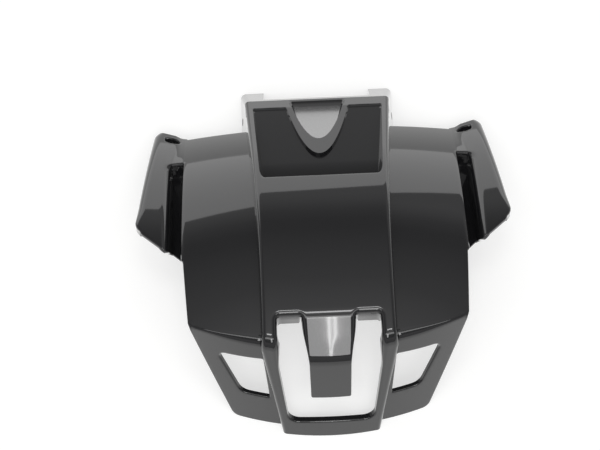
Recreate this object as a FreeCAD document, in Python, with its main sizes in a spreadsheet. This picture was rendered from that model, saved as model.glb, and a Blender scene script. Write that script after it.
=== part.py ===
import FreeCAD, Part
import math
import os
import Sketcher

# Scooter front panel: one injection-moulded skin with a swept hood, a raised centre band,
# a chin with two windows and a slotted nose, and an ear on each side.
# Millimetres, +X to the rider's side seen on the right, +Y to the rear, +Z up.
# The model is drawn with y = 0 at the brow, then moved so that the origin is the middle of its foot.

V = FreeCAD.Vector
doc = FreeCAD.newDocument("scooter_front_panel")
sheet = doc.addObject("Spreadsheet::Sheet", "sizes")

# Driving sizes, millimetres and degrees
SIZES = {
    # Skin
    "wall": 3.0,
    "flange_depth": 16.0,
    # Hood: an arc from front to rear, swung about a low axis along Y for its crown
    "hood_radius": 352.0,
    "hood_crest": 128.6,
    "crest_setback": 33.0,
    "crown_radius": 850.0,
    "hood_rear_tilt": 41.5,
    "brow_round": 10.0,
    # Chin: a leaning cylinder
    "chin_slope": 71.5,
    "chin_radius": 306.0,
    "chin_reach": 42.5,
    "chin_foot_half": 96.0,
    "chin_brow_inset": 7.0,
    "chin_brow_height": 117.0,
    "chin_corner_round": 8.0,
    # Wings: the hood each side of the band
    "wing_brow_setback": 31.0,
    "wing_half": 138.5,
    "wing_front_setback": 98.0,
    "wing_rear_inset": 4.0,
    # Centre band and its rear land and legs
    "band_proud": 12.0,
    "band_half": 64.0,
    "band_half_height": 125.0,
    "band_draft": 7.6,
    "band_edge_round": 4.5,
    "land_tilt": 31.0,
    "land_length": 90.0,
    "leg_slope": 35.5,
    "leg_front_setback": 267.0,
    "leg_gap_half": 56.0,
    "land_lip": 7.0,
    "leg_hole_radius": 4.0,
    "leg_hole_setback": 288.0,
    "leg_hole_height": 13.0,
    # Proud front below the nose
    "front_proud": 9.0,
    "front_half": 64.0,
    "front_foot_half": 48.5,
    "nose_round": 16.0,
    # Slot round the tongue
    "slot_setback": 27.0,
    "slot_foot": 20.5,
    "slot_half": 48.5,
    "slot_foot_half": 42.0,
    "slot_round": 14.0,
    "tongue_root_half": 26.0,
    "tongue_half": 20.5,
    "tongue_nose_height": 126.0,
    "tongue_tip_half": 19.0,
    "tongue_tip": 63.0,
    "tongue_shelf_tilt": 29.7,
    "tongue_inset": 1.0,
    "tongue_round": 16.0,
    # Windows in the chin
    "window_top": 100.0,
    "window_inner_half": 63.5,
    "window_outer_top": 94.0,
    "window_outer_half": 107.5,
    "window_foot": 41.0,
    "window_foot_outer_half": 87.0,
    "window_foot_inner_half": 59.5,
    "window_top_round": 7.0,
    "window_foot_round": 10.0,
    # Channel between a wing and its ear
    "channel_width": 13.0,
    "channel_floor": 83.0,
    "channel_slope": 17.0,
    # Ears
    "ear_front_angle": 42.0,
    "ear_lean": 6.2,
    "ear_rear_width": 19.0,
    "ear_rear_setback": 275.0,
    "ear_root_inset": 2.0,
    "ear_root_setback": 262.0,
    "ear_shoulder_setback": 215.0,
    "ear_radius": 480.0,
    "ear_crest": 118.3,
    "ear_crest_setback": -6.0,
    "ear_depth": 20.0,
    "ear_corner_round": 14.0,
    "ear_rear_round": 9.0,
    "ear_edge_round": 8.0,
    "ear_hole_long": 10.5,
    "ear_hole_short": 5.0,
    "ear_hole_offset": 0.5,
    "ear_hole_setback": 259.5,
    "ear_hole_turn": 21.0,
    # Dish in the rear land, and the scoop inside its shield
    "dish_front": 34.0,
    "dish_low": 2.0,
    "dish_depth": 20.0,
    "dish_rear": 75.5,
    "dish_rear_depth": 4.4,
    "dish_half": 62.0,
    "dish_floor_half": 46.0,
    "shield_half": 36.0,
    "shield_point": 58.0,
    "shield_round": 20.0,
    "scoop_half": 28.5,
    "scoop_point": 24.0,
    "scoop_round": 17.0,
    "scoop_slope": 14.0,
    "scoop_rise": 3.6,
    # Screw bosses under the band
    "boss_radius": 5.0,
    "boss_seat": 104.0,
    "boss_bore": 1.7,
    "boss_bore_depth": 10.0,
    "boss_spread": 90.0,
    "boss_pitch": 70.0,
    "boss_setback": 95.0,
}

for row, (alias, value) in enumerate(SIZES.items(), start=1):
    sheet.set(f"A{row}", alias)
    sheet.set(f"B{row}", str(value))
    sheet.setAlias(f"B{row}", alias)
doc.recompute()


class Size:
    """A number together with the sheet expression that gives it."""

    def __init__(self, value, text):
        self.value = value
        self.text = text

    def __add__(self, other):
        other = size(other)
        return Size(self.value + other.value, f"({self.text} + {other.text})")

    def __sub__(self, other):
        other = size(other)
        return Size(self.value - other.value, f"({self.text} - {other.text})")

    def __mul__(self, other):
        other = size(other)
        return Size(self.value * other.value, f"({self.text} * {other.text})")

    def __truediv__(self, other):
        other = size(other)
        return Size(self.value / other.value, f"({self.text} / {other.text})")

    def __radd__(self, other):
        return size(other) + self

    def __rsub__(self, other):
        return size(other) - self

    def __rmul__(self, other):
        return size(other) * self

    def __neg__(self):
        return Size(-self.value, f"(0 - {self.text})")


def size(number):
    """Wrap a plain number as a Size."""
    return number if isinstance(number, Size) else Size(float(number), f"{float(number):.6f}")


def of(alias):
    """A driving size, read from the sheet."""
    return Size(float(sheet.get(alias)), f"sizes.{alias}")


def sin(angle):
    return Size(math.sin(math.radians(angle.value)), f"sin({angle.text})")


def cos(angle):
    return Size(math.cos(math.radians(angle.value)), f"cos({angle.text})")


def tan(angle):
    return Size(math.tan(math.radians(angle.value)), f"tan({angle.text})")


def root(number):
    return Size(math.sqrt(number.value), f"sqrt({number.text})")


# Room past the part that cutting shapes run to
FAR = size(420.0)

# Places worked out from the driving sizes
wall = of("wall")
hood_axis_y = of("crest_setback")
hood_axis_z = of("hood_crest") - of("hood_radius")
chin_lean = 90.0 - of("chin_slope")
land_y = hood_axis_y + (of("hood_radius") + of("band_proud")) * sin(of("land_tilt"))
land_z = hood_axis_z + (of("hood_radius") + of("band_proud")) * cos(of("land_tilt"))
rear_y = land_y + of("land_length") * cos(of("land_tilt"))
rear_z = land_z - of("land_length") * sin(of("land_tilt"))
foot_rear_y = rear_y + rear_z * tan(of("leg_slope"))
foot_front_y = -(of("chin_reach") + of("front_proud") / sin(of("chin_slope")))
brow_half = of("wing_half") - of("chin_brow_inset")
channel_half = of("wing_half") + of("channel_width")
ear_rear_half = channel_half + of("ear_rear_width")
ear_root_half = of("wing_half") - of("ear_root_inset")


class Corner:
    """A corner of an outline; arc = (centre x, centre y, radius) bends the edge to the next corner."""

    def __init__(self, x, y, arc=None, free=None):
        self.x = size(x)
        self.y = size(y)
        self.arc = arc
        self.free = free


def fix(sketch, kind, element, point, place):
    """Hold one coordinate of a sketch point at a Size."""
    number = sketch.addConstraint(Sketcher.Constraint(kind, element, point, place.value))
    sketch.setExpression(f"Constraints[{number}]", place.text)


def draw(sketch, corners):
    """Draw a closed outline in a sketch and bind every corner to the sheet."""
    first = sketch.GeometryCount
    count = len(corners)
    starts = []
    ends = []
    for i, corner in enumerate(corners):
        after = corners[(i + 1) % count]
        a = V(corner.x.value, corner.y.value, 0)
        b = V(after.x.value, after.y.value, 0)
        if corner.arc is None:
            sketch.addGeometry(Part.LineSegment(a, b), False)
            starts.append((first + i, 1))
            ends.append((first + i, 2))
            continue
        cx, cy, radius = corner.arc
        centre = V(cx.value, cy.value, 0)
        angle_a = math.atan2(a.y - centre.y, a.x - centre.x)
        angle_b = math.atan2(b.y - centre.y, b.x - centre.x)
        forward = (angle_b - angle_a) % (2 * math.pi) < math.pi
        circle = Part.Circle(centre, V(0, 0, 1), radius.value)
        low, high = (angle_a, angle_b) if forward else (angle_b, angle_a)
        sketch.addGeometry(Part.ArcOfCircle(circle, low, high), False)
        starts.append((first + i, 1 if forward else 2))
        ends.append((first + i, 2 if forward else 1))
    for i in range(count):
        sketch.addConstraint(Sketcher.Constraint("Coincident", *ends[i], *starts[(i + 1) % count]))
    for i, corner in enumerate(corners):
        if corner.free != "x":
            fix(sketch, "DistanceX", *starts[i], corner.x)
        if corner.free != "y":
            fix(sketch, "DistanceY", *starts[i], corner.y)
        if corner.arc is not None:
            cx, cy, radius = corner.arc
            fix(sketch, "DistanceX", first + i, 3, cx)
            fix(sketch, "DistanceY", first + i, 3, cy)
            number = sketch.addConstraint(Sketcher.Constraint("Radius", first + i, radius.value))
            sketch.setExpression(f"Constraints[{number}]", radius.text)


def new_body(name):
    return doc.addObject("PartDesign::Body", name)


def sketch_on(body, plane, name, outlines, move=(0, 0, 0), lean=None, lean_axis=V(-1, 0, 0)):
    """Sketch outlines on an origin plane of a body, moved and leaned about the cross axis."""
    sketch = body.newObject("Sketcher::SketchObject", name)
    support = [f for f in body.Origin.OriginFeatures if f.Role == plane][0]
    sketch.AttachmentSupport = (support, [""])
    sketch.MapMode = "FlatFace"
    move = [size(m) for m in move]
    angle = lean.value if lean is not None else 0.0
    place = V(*[m.value for m in move])
    sketch.AttachmentOffset = FreeCAD.Placement(place, FreeCAD.Rotation(lean_axis, angle))
    for axis, m in zip("xyz", move):
        sketch.setExpression(f"AttachmentOffset.Base.{axis}", m.text)
    if lean is not None:
        sketch.setExpression("AttachmentOffset.Rotation.Angle", lean.text)
    for outline in outlines:
        draw(sketch, outline)
    doc.recompute()
    return sketch


def feature(body, kind, name, sketch, length):
    """Pad or pocket a sketch by a length."""
    made = body.newObject(f"PartDesign::{kind}", name)
    made.Profile = sketch
    made.Type = "Length"
    made.setExpression("Length", length.text)
    doc.recompute()
    return made


def picked_edges(base, wanted):
    """Names of the edges that a test picks out by the edge and its middle."""
    names = []
    for i, edge in enumerate(base.Shape.Edges, start=1):
        middle = edge.valueAt((edge.FirstParameter + edge.LastParameter) / 2)
        if wanted(edge, middle):
            names.append(f"Edge{i}")
    return names


def round_edges(body, name, base, radius, wanted):
    """Fillet the edges of a feature that a test picks out."""
    made = body.newObject("PartDesign::Fillet", name)
    made.Base = (base, picked_edges(base, wanted))
    made.setExpression("Radius", radius.text)
    doc.recompute()
    return made


def bevel_edges(body, name, base, width, wanted):
    """Chamfer the edges of a feature that a test picks out."""
    made = body.newObject("PartDesign::Chamfer", name)
    made.Base = (base, picked_edges(base, wanted))
    made.setExpression("Size", width.text)
    doc.recompute()
    return made


def box_outline(half_x, low_y, high_y):
    return [Corner(-half_x, low_y), Corner(half_x, low_y), Corner(half_x, high_y), Corner(-half_x, high_y)]


def mirrored(corners):
    """A half outline, drawn with x above zero, closed by its mirror image."""
    back = [Corner(-c.x, c.y) for c in reversed(corners)]
    return list(corners) + back


def join(kind, name, shapes):
    made = doc.addObject(f"Part::{kind}", name)
    made.Shapes = shapes
    doc.recompute()
    return made


def cut(name, base, tool):
    made = doc.addObject("Part::Cut", name)
    made.Base = base
    made.Tool = tool
    doc.recompute()
    return made


def mirror(name, source):
    made = doc.addObject("Part::Mirroring", name)
    made.Source = source
    made.Normal = V(1, 0, 0)
    doc.recompute()
    return made


# Hood and chin volumes

def hood_place(radius, tilt):
    """Place on a circle about the hood's cross axis, at a tilt back from the top."""
    return hood_axis_y + radius * sin(tilt), hood_axis_z + radius * cos(tilt)


def hood_profile(radius, rear_tilt):
    """Side view of the hood in the middle plane, heights measured from its crown axis."""
    front_tilt = size(-34.0)
    inner = radius * 0.4
    crown_z = of("hood_crest") - of("crown_radius")
    corners = []
    for reach, tilt in ((radius, front_tilt), (radius, rear_tilt), (inner, rear_tilt), (inner, front_tilt)):
        y, z = hood_place(reach, tilt)
        corners.append(Corner(y, z - crown_z))
    corners[0].arc = (hood_axis_y, hood_axis_z - crown_z, radius)
    corners[0].free = "y"
    corners[1].free = "y"
    return corners


def hood_behind(rear_tilt):
    """Side view of the space behind the hood's rear edge."""
    edge = hood_place(FAR, rear_tilt)
    beyond = FAR * 2
    return [Corner(hood_axis_y, hood_axis_z), Corner(beyond, hood_axis_z),
            Corner(beyond, edge[1]), Corner(*edge)]


def chin_front(inset):
    """The space in front of the chin cylinder, in the plane square to it."""
    half = size(200.0)
    radius = of("chin_radius")
    edge = inset + radius - root(radius * radius - half * half)
    arc = (size(0), inset + radius, radius)
    return [Corner(-half, edge, arc, "y"), Corner(half, edge, None, "y"),
            Corner(half, -FAR), Corner(-half, -FAR)]


def cut_chin(body, inset):
    """Cut a body back to the chin, inset square to it."""
    reach = FAR * cos(of("chin_slope")) - of("chin_reach")
    lift = FAR * sin(of("chin_slope"))
    place = (0, reach, lift)
    sketch = sketch_on(body, "XY_Plane", f"{body.Name}_chin_line", [chin_front(inset)], place, chin_lean)
    return feature(body, "Pocket", f"{body.Name}_chin", sketch, FAR * 2)


def is_brow(edge, middle):
    """The edge where hood and chin meet: it crosses the middle, high at the front."""
    across = abs(middle.x) < 1.0 and edge.Length > 60.0
    return across and middle.z > 80.0 and middle.y < 60.0


# How the edges of a volume are finished: rounded outside, bevelled inside, or left sharp
ROUND = "round"
BEVEL = "bevel"
SHARP = "sharp"


def wing_volume(name, inset, rear_tilt, edges):
    """Everything under the hood and behind the chin, inset from the outer skin."""
    body = new_body(name)
    spread = 16.0
    profile = hood_profile(of("hood_radius") - inset, rear_tilt + 8.0)
    crown_axis = (0, of("hood_crest") - of("crown_radius"), 0)
    sketch = sketch_on(body, "YZ_Plane", f"{name}_side", [profile], crown_axis)
    ring = body.newObject("PartDesign::Revolution", f"{name}_ring")
    ring.Profile = sketch
    ring.ReferenceAxis = (sketch, ["H_Axis"])
    ring.Midplane = True
    ring.Angle = spread * 2.0
    doc.recompute()
    sketch = sketch_on(body, "YZ_Plane", f"{name}_rear_line", [hood_behind(rear_tilt)], (0, 0, FAR))
    feature(body, "Pocket", f"{name}_rear", sketch, FAR * 2)
    chin = cut_chin(body, inset)
    if edges == ROUND:
        round_edges(body, f"{name}_brow", chin, of("brow_round"), is_brow)
    if edges == BEVEL:
        bevel_edges(body, f"{name}_brow", chin, of("brow_round") * 0.55, is_brow)
    return body


# Centre band volumes

def band_profile(inset, low):
    """Side view of the band: its arc, the flat rear land and the sloping back, down to a level."""
    radius = of("hood_radius") + of("band_proud") - inset
    front_tilt = size(16.0)
    tilt = of("land_tilt")
    slope = of("leg_slope")
    front_y = hood_axis_y - radius * sin(front_tilt)
    front_z = hood_axis_z + radius * cos(front_tilt)
    start_y = hood_axis_y + radius * sin(tilt)
    start_z = hood_axis_z + radius * cos(tilt)
    reach = of("land_length") - inset * tan((90.0 - slope - tilt) / 2.0)
    end_y = start_y + reach * cos(tilt)
    end_z = start_z - reach * sin(tilt)
    back_y = end_y + (end_z - low) * tan(slope)
    arc = (hood_axis_y, hood_axis_z, radius)
    return [Corner(front_y, low), Corner(front_y, front_z, arc, "y"), Corner(start_y, start_z, None, "y"),
            Corner(end_y, end_z), Corner(back_y, low)]


def taper(half, half_height, foot_half, low, high):
    """Front view of a tapering wall pair, drawn from one level to another."""
    slope = (half - foot_half) / half_height
    return mirrored([Corner(foot_half + slope * low, low), Corner(foot_half + slope * high, high)])


def frame_round(hole):
    """A cutting outline with a hole, which keeps what lies inside the hole."""
    return [box_outline(FAR, -FAR, FAR), hole]


def is_band_edge(edge, middle):
    """The long top edges of the band, left and right."""
    return abs(middle.x) > 50.0 and middle.z > 45.0 and middle.y > 30.0 and edge.Length > 40.0


def band_volume(name, inset, low, edges):
    """Everything under the band, its nose and its proud front, inset from the outer skin."""
    body = new_body(name)
    half_span = size(100.0)
    sketch = sketch_on(body, "YZ_Plane", f"{name}_side", [band_profile(inset, low)], (0, 0, -half_span))
    feature(body, "Pad", f"{name}_pad", sketch, half_span * 2)
    chin = cut_chin(body, inset - of("front_proud"))
    if edges == ROUND:
        round_edges(body, f"{name}_nose", chin, of("nose_round"), is_brow)
    if edges == BEVEL:
        bevel_edges(body, f"{name}_nose", chin, of("nose_round") * 0.62, is_brow)
    draft = tan(of("band_draft"))
    thin = inset / cos(of("band_draft"))
    foot_half = of("band_half") + of("band_half_height") * draft - thin
    walls = taper(of("band_half") - thin, of("band_half_height"), foot_half, size(-60), size(200))
    sketch = sketch_on(body, "XZ_Plane", f"{name}_walls_view", frame_round(walls), (0, 0, FAR))
    sides = feature(body, "Pocket", f"{name}_walls", sketch, FAR * 2)
    if edges == ROUND:
        round_edges(body, f"{name}_edges", sides, of("band_edge_round"), is_band_edge)
    front_foot = of("front_foot_half") - inset
    legs = taper(of("front_half") - inset, of("band_half_height"), front_foot, size(-60), size(200))
    sketch = sketch_on(body, "XZ_Plane", f"{name}_front_view", frame_round(legs), (0, 0, FAR))
    feature(body, "Pocket", f"{name}_front", sketch, FAR + of("nose_round") - 4.0)
    return body


def prism(name, plane, corners, move, length, rounds=(), lean=None):
    """A padded outline; rounds lists (corner x, corner y, radius) in the outline's own plane."""
    body = new_body(name)
    sketch = sketch_on(body, plane, f"{name}_outline", [corners], move, lean)
    last = feature(body, "Pad", f"{name}_pad", sketch, length)
    along = sketch.Placement.Rotation.multVec(V(0, 0, 1))
    for number, (x, y, radius) in enumerate(rounds):
        corner = sketch.Placement.multVec(V(x.value, y.value, 0))

        def at_corner(edge, middle):
            offset = middle - corner
            return (offset - along * offset.dot(along)).Length < 0.01

        last = round_edges(body, f"{name}_round_{number}", last, radius, at_corner)
    return body


# Outer form: wings, chin and band

hood_full = wing_volume("hood_full", size(0), of("hood_rear_tilt"), ROUND)
edge_slope = (of("wing_half") - brow_half) / (of("wing_front_setback") - of("wing_brow_setback"))
plan_front = size(-100.0)
wing_plan = prism("wing_plan", "XY_Plane", mirrored([
    Corner(brow_half + (plan_front - of("wing_brow_setback")) * edge_slope, plan_front),
    Corner(of("wing_half"), of("wing_front_setback")),
    Corner(of("wing_half"), of("ear_shoulder_setback") - of("channel_width")),
    Corner(channel_half - wall / 2.0, of("ear_shoulder_setback")),
    Corner(ear_root_half, of("ear_root_setback")),
    Corner(of("wing_half") - of("wing_rear_inset"), of("ear_rear_setback")),
]), (0, 0, 0), size(200.0))
chin_gap = (brow_half - of("chin_foot_half")) / of("chin_brow_height")
side_low = size(-60.0)
side_high = size(190.0)
chin_side = prism("chin_side", "XZ_Plane", [
    Corner(of("front_half"), side_low),
    Corner(FAR, side_low),
    Corner(FAR, side_high),
    Corner(of("chin_foot_half") + chin_gap * side_high, side_high),
    Corner(of("chin_foot_half"), 0),
    Corner(of("front_half"), 0),
], (0, 0, -of("wing_brow_setback") - 1.0), FAR, [(of("chin_foot_half"), size(0), of("chin_corner_round"))])
wing_trim = join("MultiCommon", "wing_trim", [hood_full, wing_plan])
chin_sides = join("MultiFuse", "chin_sides", [chin_side, mirror("chin_side_left", chin_side)])
wings = cut("wings", wing_trim, chin_sides)
band = band_volume("band_outer", size(0), size(0), ROUND)
outer = join("MultiFuse", "outer", [wings, band])


# Dish and shield on the rear land

def land_place(along, above):
    """World y and z of a place on the land, along its slope and square above it."""
    tilt = of("land_tilt")
    return land_y + along * cos(tilt) + above * sin(tilt), land_z - along * sin(tilt) + above * cos(tilt)


def land_prism(name, corners, rounds):
    """A prism square to the land, well through it."""
    deep = size(60.0)
    y, z = land_place(size(0), -deep)
    return prism(name, "XY_Plane", corners, (0, y, z), deep * 2, rounds, of("land_tilt"))


def dish_prism(name, grow):
    """The dish, grown for the inside: its floor falls, then climbs to the rear, between sloping sides."""
    front = -of("dish_front")
    low = of("dish_low")
    depth = of("dish_depth")
    rear = of("dish_rear") + grow
    above = size(40.0)
    sunk = grow * 1.15
    fall = depth / (low - front)
    climb = (depth - of("dish_rear_depth")) / (of("dish_rear") - low)
    start = front - 18.0
    rear_depth = depth - (rear - low) * climb
    places = (land_place(start, (front - start) * fall - sunk), land_place(low, -depth - sunk),
              land_place(rear, -rear_depth - sunk), land_place(rear, above), land_place(start, above))
    line = [Corner(*place) for place in places]
    half_span = size(100.0)
    floor = prism(f"{name}_floor", "YZ_Plane", line, (0, 0, -half_span), half_span * 2)
    flare = (of("dish_half") - of("dish_floor_half")) / depth
    half = of("dish_half") + grow * 1.25
    deep = depth + 20.0
    sides = mirrored([Corner(half - flare * deep, -deep), Corner(half + flare * above, above)])
    y, z = land_place(size(110.0), size(0))
    side = prism(f"{name}_sides", "XZ_Plane", sides, (0, z, -y), size(200.0), (), of("land_tilt"))
    return join("MultiCommon", name, [floor, side])


def pointed_prism(name, half, point, radius, grow):
    """A pointed arch on the land, open to the rear edge and grown all round."""
    length = of("land_length")
    lean = half / root(half * half + (length + point) * (length + point))
    sharp = -point - grow / lean
    run = size(140.0)
    half_run = half / (length + point) * (run - sharp)
    corners = [Corner(0, sharp), Corner(half_run, run), Corner(-half_run, run)]
    return land_prism(name, corners, [(size(0), sharp, radius + grow)])


dish_block = dish_prism("dish_block", size(0))
dish_block_inside = dish_prism("dish_block_inside", wall)
shield_form = (of("shield_half"), of("shield_point"), of("shield_round"))
shield = pointed_prism("shield", *shield_form, size(0))
shield_inside = pointed_prism("shield_inside", *shield_form, wall * -1.5)
dish = cut("dish", dish_block, shield)
dish_inside = cut("dish_inside", dish_block_inside, shield_inside)


def scoop_prism(name, grow):
    """The scoop inside the shield: an upright pointed arch, with a floor that climbs to the rear edge."""
    half = of("scoop_half")
    run = (of("land_length") + of("scoop_point")) * cos(of("land_tilt"))
    lean = half / root(half * half + run * run)
    tip = rear_y - run - grow / lean
    far = rear_y + 40.0
    half_far = half / run * (far - tip)
    corners = [Corner(0, tip), Corner(half_far, far), Corner(-half_far, far)]
    rounds = [(size(0), tip, of("scoop_round") + grow)]
    body = prism(name, "XY_Plane", corners, (0, 0, 0), size(160.0), rounds)
    climb = tan(of("scoop_slope"))
    level = rear_z + of("scoop_rise") - grow / cos(of("scoop_slope"))
    low = size(-50.0)
    near = tip - 20.0
    floor = [Corner(near, level - (rear_y - near) * climb), Corner(far, level + (far - rear_y) * climb),
             Corner(far, low), Corner(near, low)]
    sketch = sketch_on(body, "YZ_Plane", f"{name}_floor_line", [floor], (0, 0, FAR))
    feature(body, "Pocket", f"{name}_floor", sketch, FAR * 2)
    return body


scoop = scoop_prism("scoop", size(0))
scoop_inside = scoop_prism("scoop_inside", wall)


# Openings in the chin and nose

def slot_prism(name, grow):
    """The slot that runs down both sides of the tongue and under its tip."""
    half = of("slot_half") + grow
    foot_half = of("slot_foot_half") + grow
    foot = of("slot_foot") - grow
    nose = of("tongue_nose_height")
    root_half = of("tongue_root_half") - grow
    tongue_half = of("tongue_half") - grow
    tip_half = of("tongue_tip_half") - grow
    tip = of("tongue_tip") + grow
    top = size(170.0)
    root_height = of("hood_crest") + of("band_proud")
    outer_side = [Corner(foot_half, foot), Corner(half, nose), Corner(half, top), Corner(root_half, top)]
    tongue_side = [Corner(root_half, root_height), Corner(tongue_half, nose), Corner(tip_half, tip)]
    rounds = [(foot_half, foot, of("slot_round") + grow), (-foot_half, foot, of("slot_round") + grow)]
    back = (0, 0, -of("slot_setback") - grow)
    return prism(name, "XZ_Plane", mirrored(outer_side + tongue_side), back, FAR, rounds)


def tongue_prism(name, grow):
    """What lies above the tongue's sloping shelf and before its plate, sunk by a wall for the inside."""
    fall = tan(of("tongue_shelf_tilt"))
    lean = tan(of("chin_slope"))
    radius = of("hood_radius") + of("band_proud")
    start_y = of("slot_setback")
    reach = start_y - hood_axis_y
    start_z = hood_axis_z + root(radius * radius - reach * reach) - grow / cos(of("tongue_shelf_tilt"))
    inset = of("tongue_inset") + grow - of("front_proud")
    foot_y = inset / sin(of("chin_slope")) - of("chin_reach")
    nose_z = (start_z - (start_y - foot_y) * fall) / (1.0 - fall / lean)
    nose_y = foot_y + nose_z / lean
    low = of("tongue_tip") - 10.0
    high = size(170.0)
    half = of("tongue_root_half") + 1.0
    corners = [Corner(start_y, start_z), Corner(nose_y, nose_z), Corner(foot_y + low / lean, low),
               Corner(-FAR, low), Corner(-FAR, high), Corner(start_y, high)]
    rounds = [(nose_y, nose_z, of("tongue_round") - grow)]
    return prism(name, "YZ_Plane", corners, (0, 0, -half), half * 2, rounds)


def window_prism(name):
    """The right window of the chin."""
    back = -of("slot_setback")
    a = Corner(of("window_foot_inner_half"), of("window_foot"))
    b = Corner(of("window_foot_outer_half"), of("window_foot"))
    c = Corner(of("window_outer_half"), of("window_outer_top"))
    d = Corner(of("window_inner_half"), of("window_top"))
    rounds = [(b.x, b.y, of("window_foot_round")), (c.x, c.y, of("window_top_round"))]
    return prism(name, "XZ_Plane", [a, b, c, d], (0, 0, back), FAR, rounds)


slot = slot_prism("slot", size(0))
slot_rim = slot_prism("slot_rim", wall)
tongue_recess = tongue_prism("tongue_recess", size(0))
tongue_inside = tongue_prism("tongue_inside", wall)
window = window_prism("window")
openings = join("MultiFuse", "openings", [slot, tongue_recess, window, mirror("window_left", window)])


# Inner form: the space under the skin

below = size(-30.0)
wing_inner = wing_volume("wing_inner", wall, of("hood_rear_tilt") + 22.0, BEVEL)
behind_wings = box_outline(FAR, of("leg_front_setback"), of("leg_front_setback") + FAR)
wing_back = prism("wing_back", "XY_Plane", behind_wings, (0, 0, -FAR), FAR * 2)
wing_space = cut("wing_space", wing_inner, wing_back)
band_space = band_volume("band_inner", wall, below, BEVEL)
wing_deep = wing_volume("wing_deep", of("flange_depth"), of("hood_rear_tilt"), SHARP)
band_deep = band_volume("band_deep", of("flange_depth"), below, SHARP)
deep = join("MultiFuse", "deep", [wing_deep, band_deep])
rim_walls = cut("rim_walls", slot_rim, deep)
sunk_walls = join("MultiFuse", "sunk_walls", [dish_inside, scoop_inside, tongue_inside])
space = join("MultiFuse", "space", [wing_space, band_space])
space_sunk = cut("space_sunk", space, sunk_walls)
inner = cut("inner", space_sunk, rim_walls)

# Legs at the rear: open between them, with a fixing hole in each side wall
leg_gap = prism("leg_gap", "XZ_Plane", box_outline(of("leg_gap_half"), below, rear_z - of("land_lip")),
                (0, 0, -FAR), FAR - rear_y + 12.0)
leg_hole = doc.addObject("Part::Cylinder", "leg_hole")
leg_hole.setExpression("Radius", of("leg_hole_radius").text)
leg_hole.setExpression("Height", (of("band_half") * 4.0).text)
leg_hole.Placement = FreeCAD.Placement(V(0, 0, 0), FreeCAD.Rotation(V(0, 1, 0), 90))
leg_hole.setExpression("Placement.Base.x", (of("band_half") * -2.0).text)
leg_hole.setExpression("Placement.Base.y", of("leg_hole_setback").text)
leg_hole.setExpression("Placement.Base.z", of("leg_hole_height").text)

skin = cut("skin", outer, inner)


# Ears and their channels

ear_run = tan(of("ear_lean"))
ear_rise = tan(of("ear_front_angle"))
ear_length = of("ear_rear_setback") - of("wing_front_setback") + of("wing_half") * ear_rise
ear_half = (ear_rear_half + ear_length * ear_run) / (1.0 + ear_rise * ear_run)


def front_line(half):
    """Setback of the slanting front edge of an ear, at a distance from the middle."""
    return of("wing_front_setback") + (half - of("wing_half")) * ear_rise


def ear_arc_cut(body, name, radius, above):
    """Cut an ear's block to its top arc, above it or below it, square to its outer wall."""
    centre_y = of("ear_crest_setback") - of("ear_rear_setback")
    centre_z = of("ear_crest") - of("ear_radius")
    near = size(-235.0)
    beyond = size(55.0)

    def height(y):
        reach = y - centre_y
        return centre_z + root(radius * radius - reach * reach)

    level = size(260.0) if above else size(-260.0)
    arc = (centre_y, centre_z, radius)
    outline = [Corner(near, height(near), arc, "y"), Corner(beyond, height(beyond), None, "y"),
               Corner(beyond, level), Corner(near, level)]
    lean = of("ear_lean")
    pivot = (of("ear_rear_setback") + FAR * sin(lean), 0, ear_rear_half + FAR * cos(lean))
    sketch = sketch_on(body, "YZ_Plane", f"{body.Name}_{name}_arc", [outline], pivot, lean, V(0, 1, 0))
    return feature(body, "Pocket", f"{body.Name}_{name}", sketch, FAR * 2)


def ear_block(name, inset):
    """An ear's block with its rounded top edge, its front left long; inset for the inside."""
    near = size(60.0)
    rear = Corner(ear_rear_half - inset * 1.1, of("ear_rear_setback") - inset)
    root_corner = Corner(ear_root_half + inset * 1.6, of("ear_root_setback") - inset * 0.7)
    shoulder = Corner(channel_half + inset, of("ear_shoulder_setback") + inset * 0.4)
    corners = [Corner(channel_half + inset, near), Corner(rear.x + (rear.y - near) * ear_run, near), rear,
               root_corner, shoulder]
    radius = of("ear_rear_round") - inset * 0.8
    body = prism(name, "XY_Plane", corners, (0, 0, below * 2.0), size(260.0), [(rear.x, rear.y, radius)])
    top = ear_arc_cut(body, "top", of("ear_radius") - inset, True)

    def is_outer_edge(edge, middle):
        return middle.x > ear_rear_half.value and edge.Length > 100.0 and middle.z > 50.0

    if inset.value > 0.0:
        bevel_edges(body, f"{name}_edge", top, of("ear_edge_round") * 0.4, is_outer_edge)
    else:
        round_edges(body, f"{name}_edge", top, of("ear_edge_round"), is_outer_edge)
        ear_arc_cut(body, "foot", of("ear_radius") - of("ear_depth"), False)
    return body


ear_long = ear_block("ear_long", size(0))
ear_space = ear_block("ear_space", wall)
ear_plan = prism("ear_plan", "XY_Plane", [
    Corner(of("wing_half") - 20.0, front_line(of("wing_half") - 20.0)),
    Corner(ear_half, front_line(ear_half)),
    Corner(ear_rear_half, of("ear_rear_setback")),
    Corner(ear_rear_half, of("ear_rear_setback") + 40.0),
    Corner(of("wing_half") - 20.0, of("ear_rear_setback") + 40.0),
], (0, 0, below * 2.0), size(260.0), [(ear_half, front_line(ear_half), of("ear_corner_round"))])
ear = join("MultiCommon", "ear", [ear_long, ear_plan])


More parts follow.
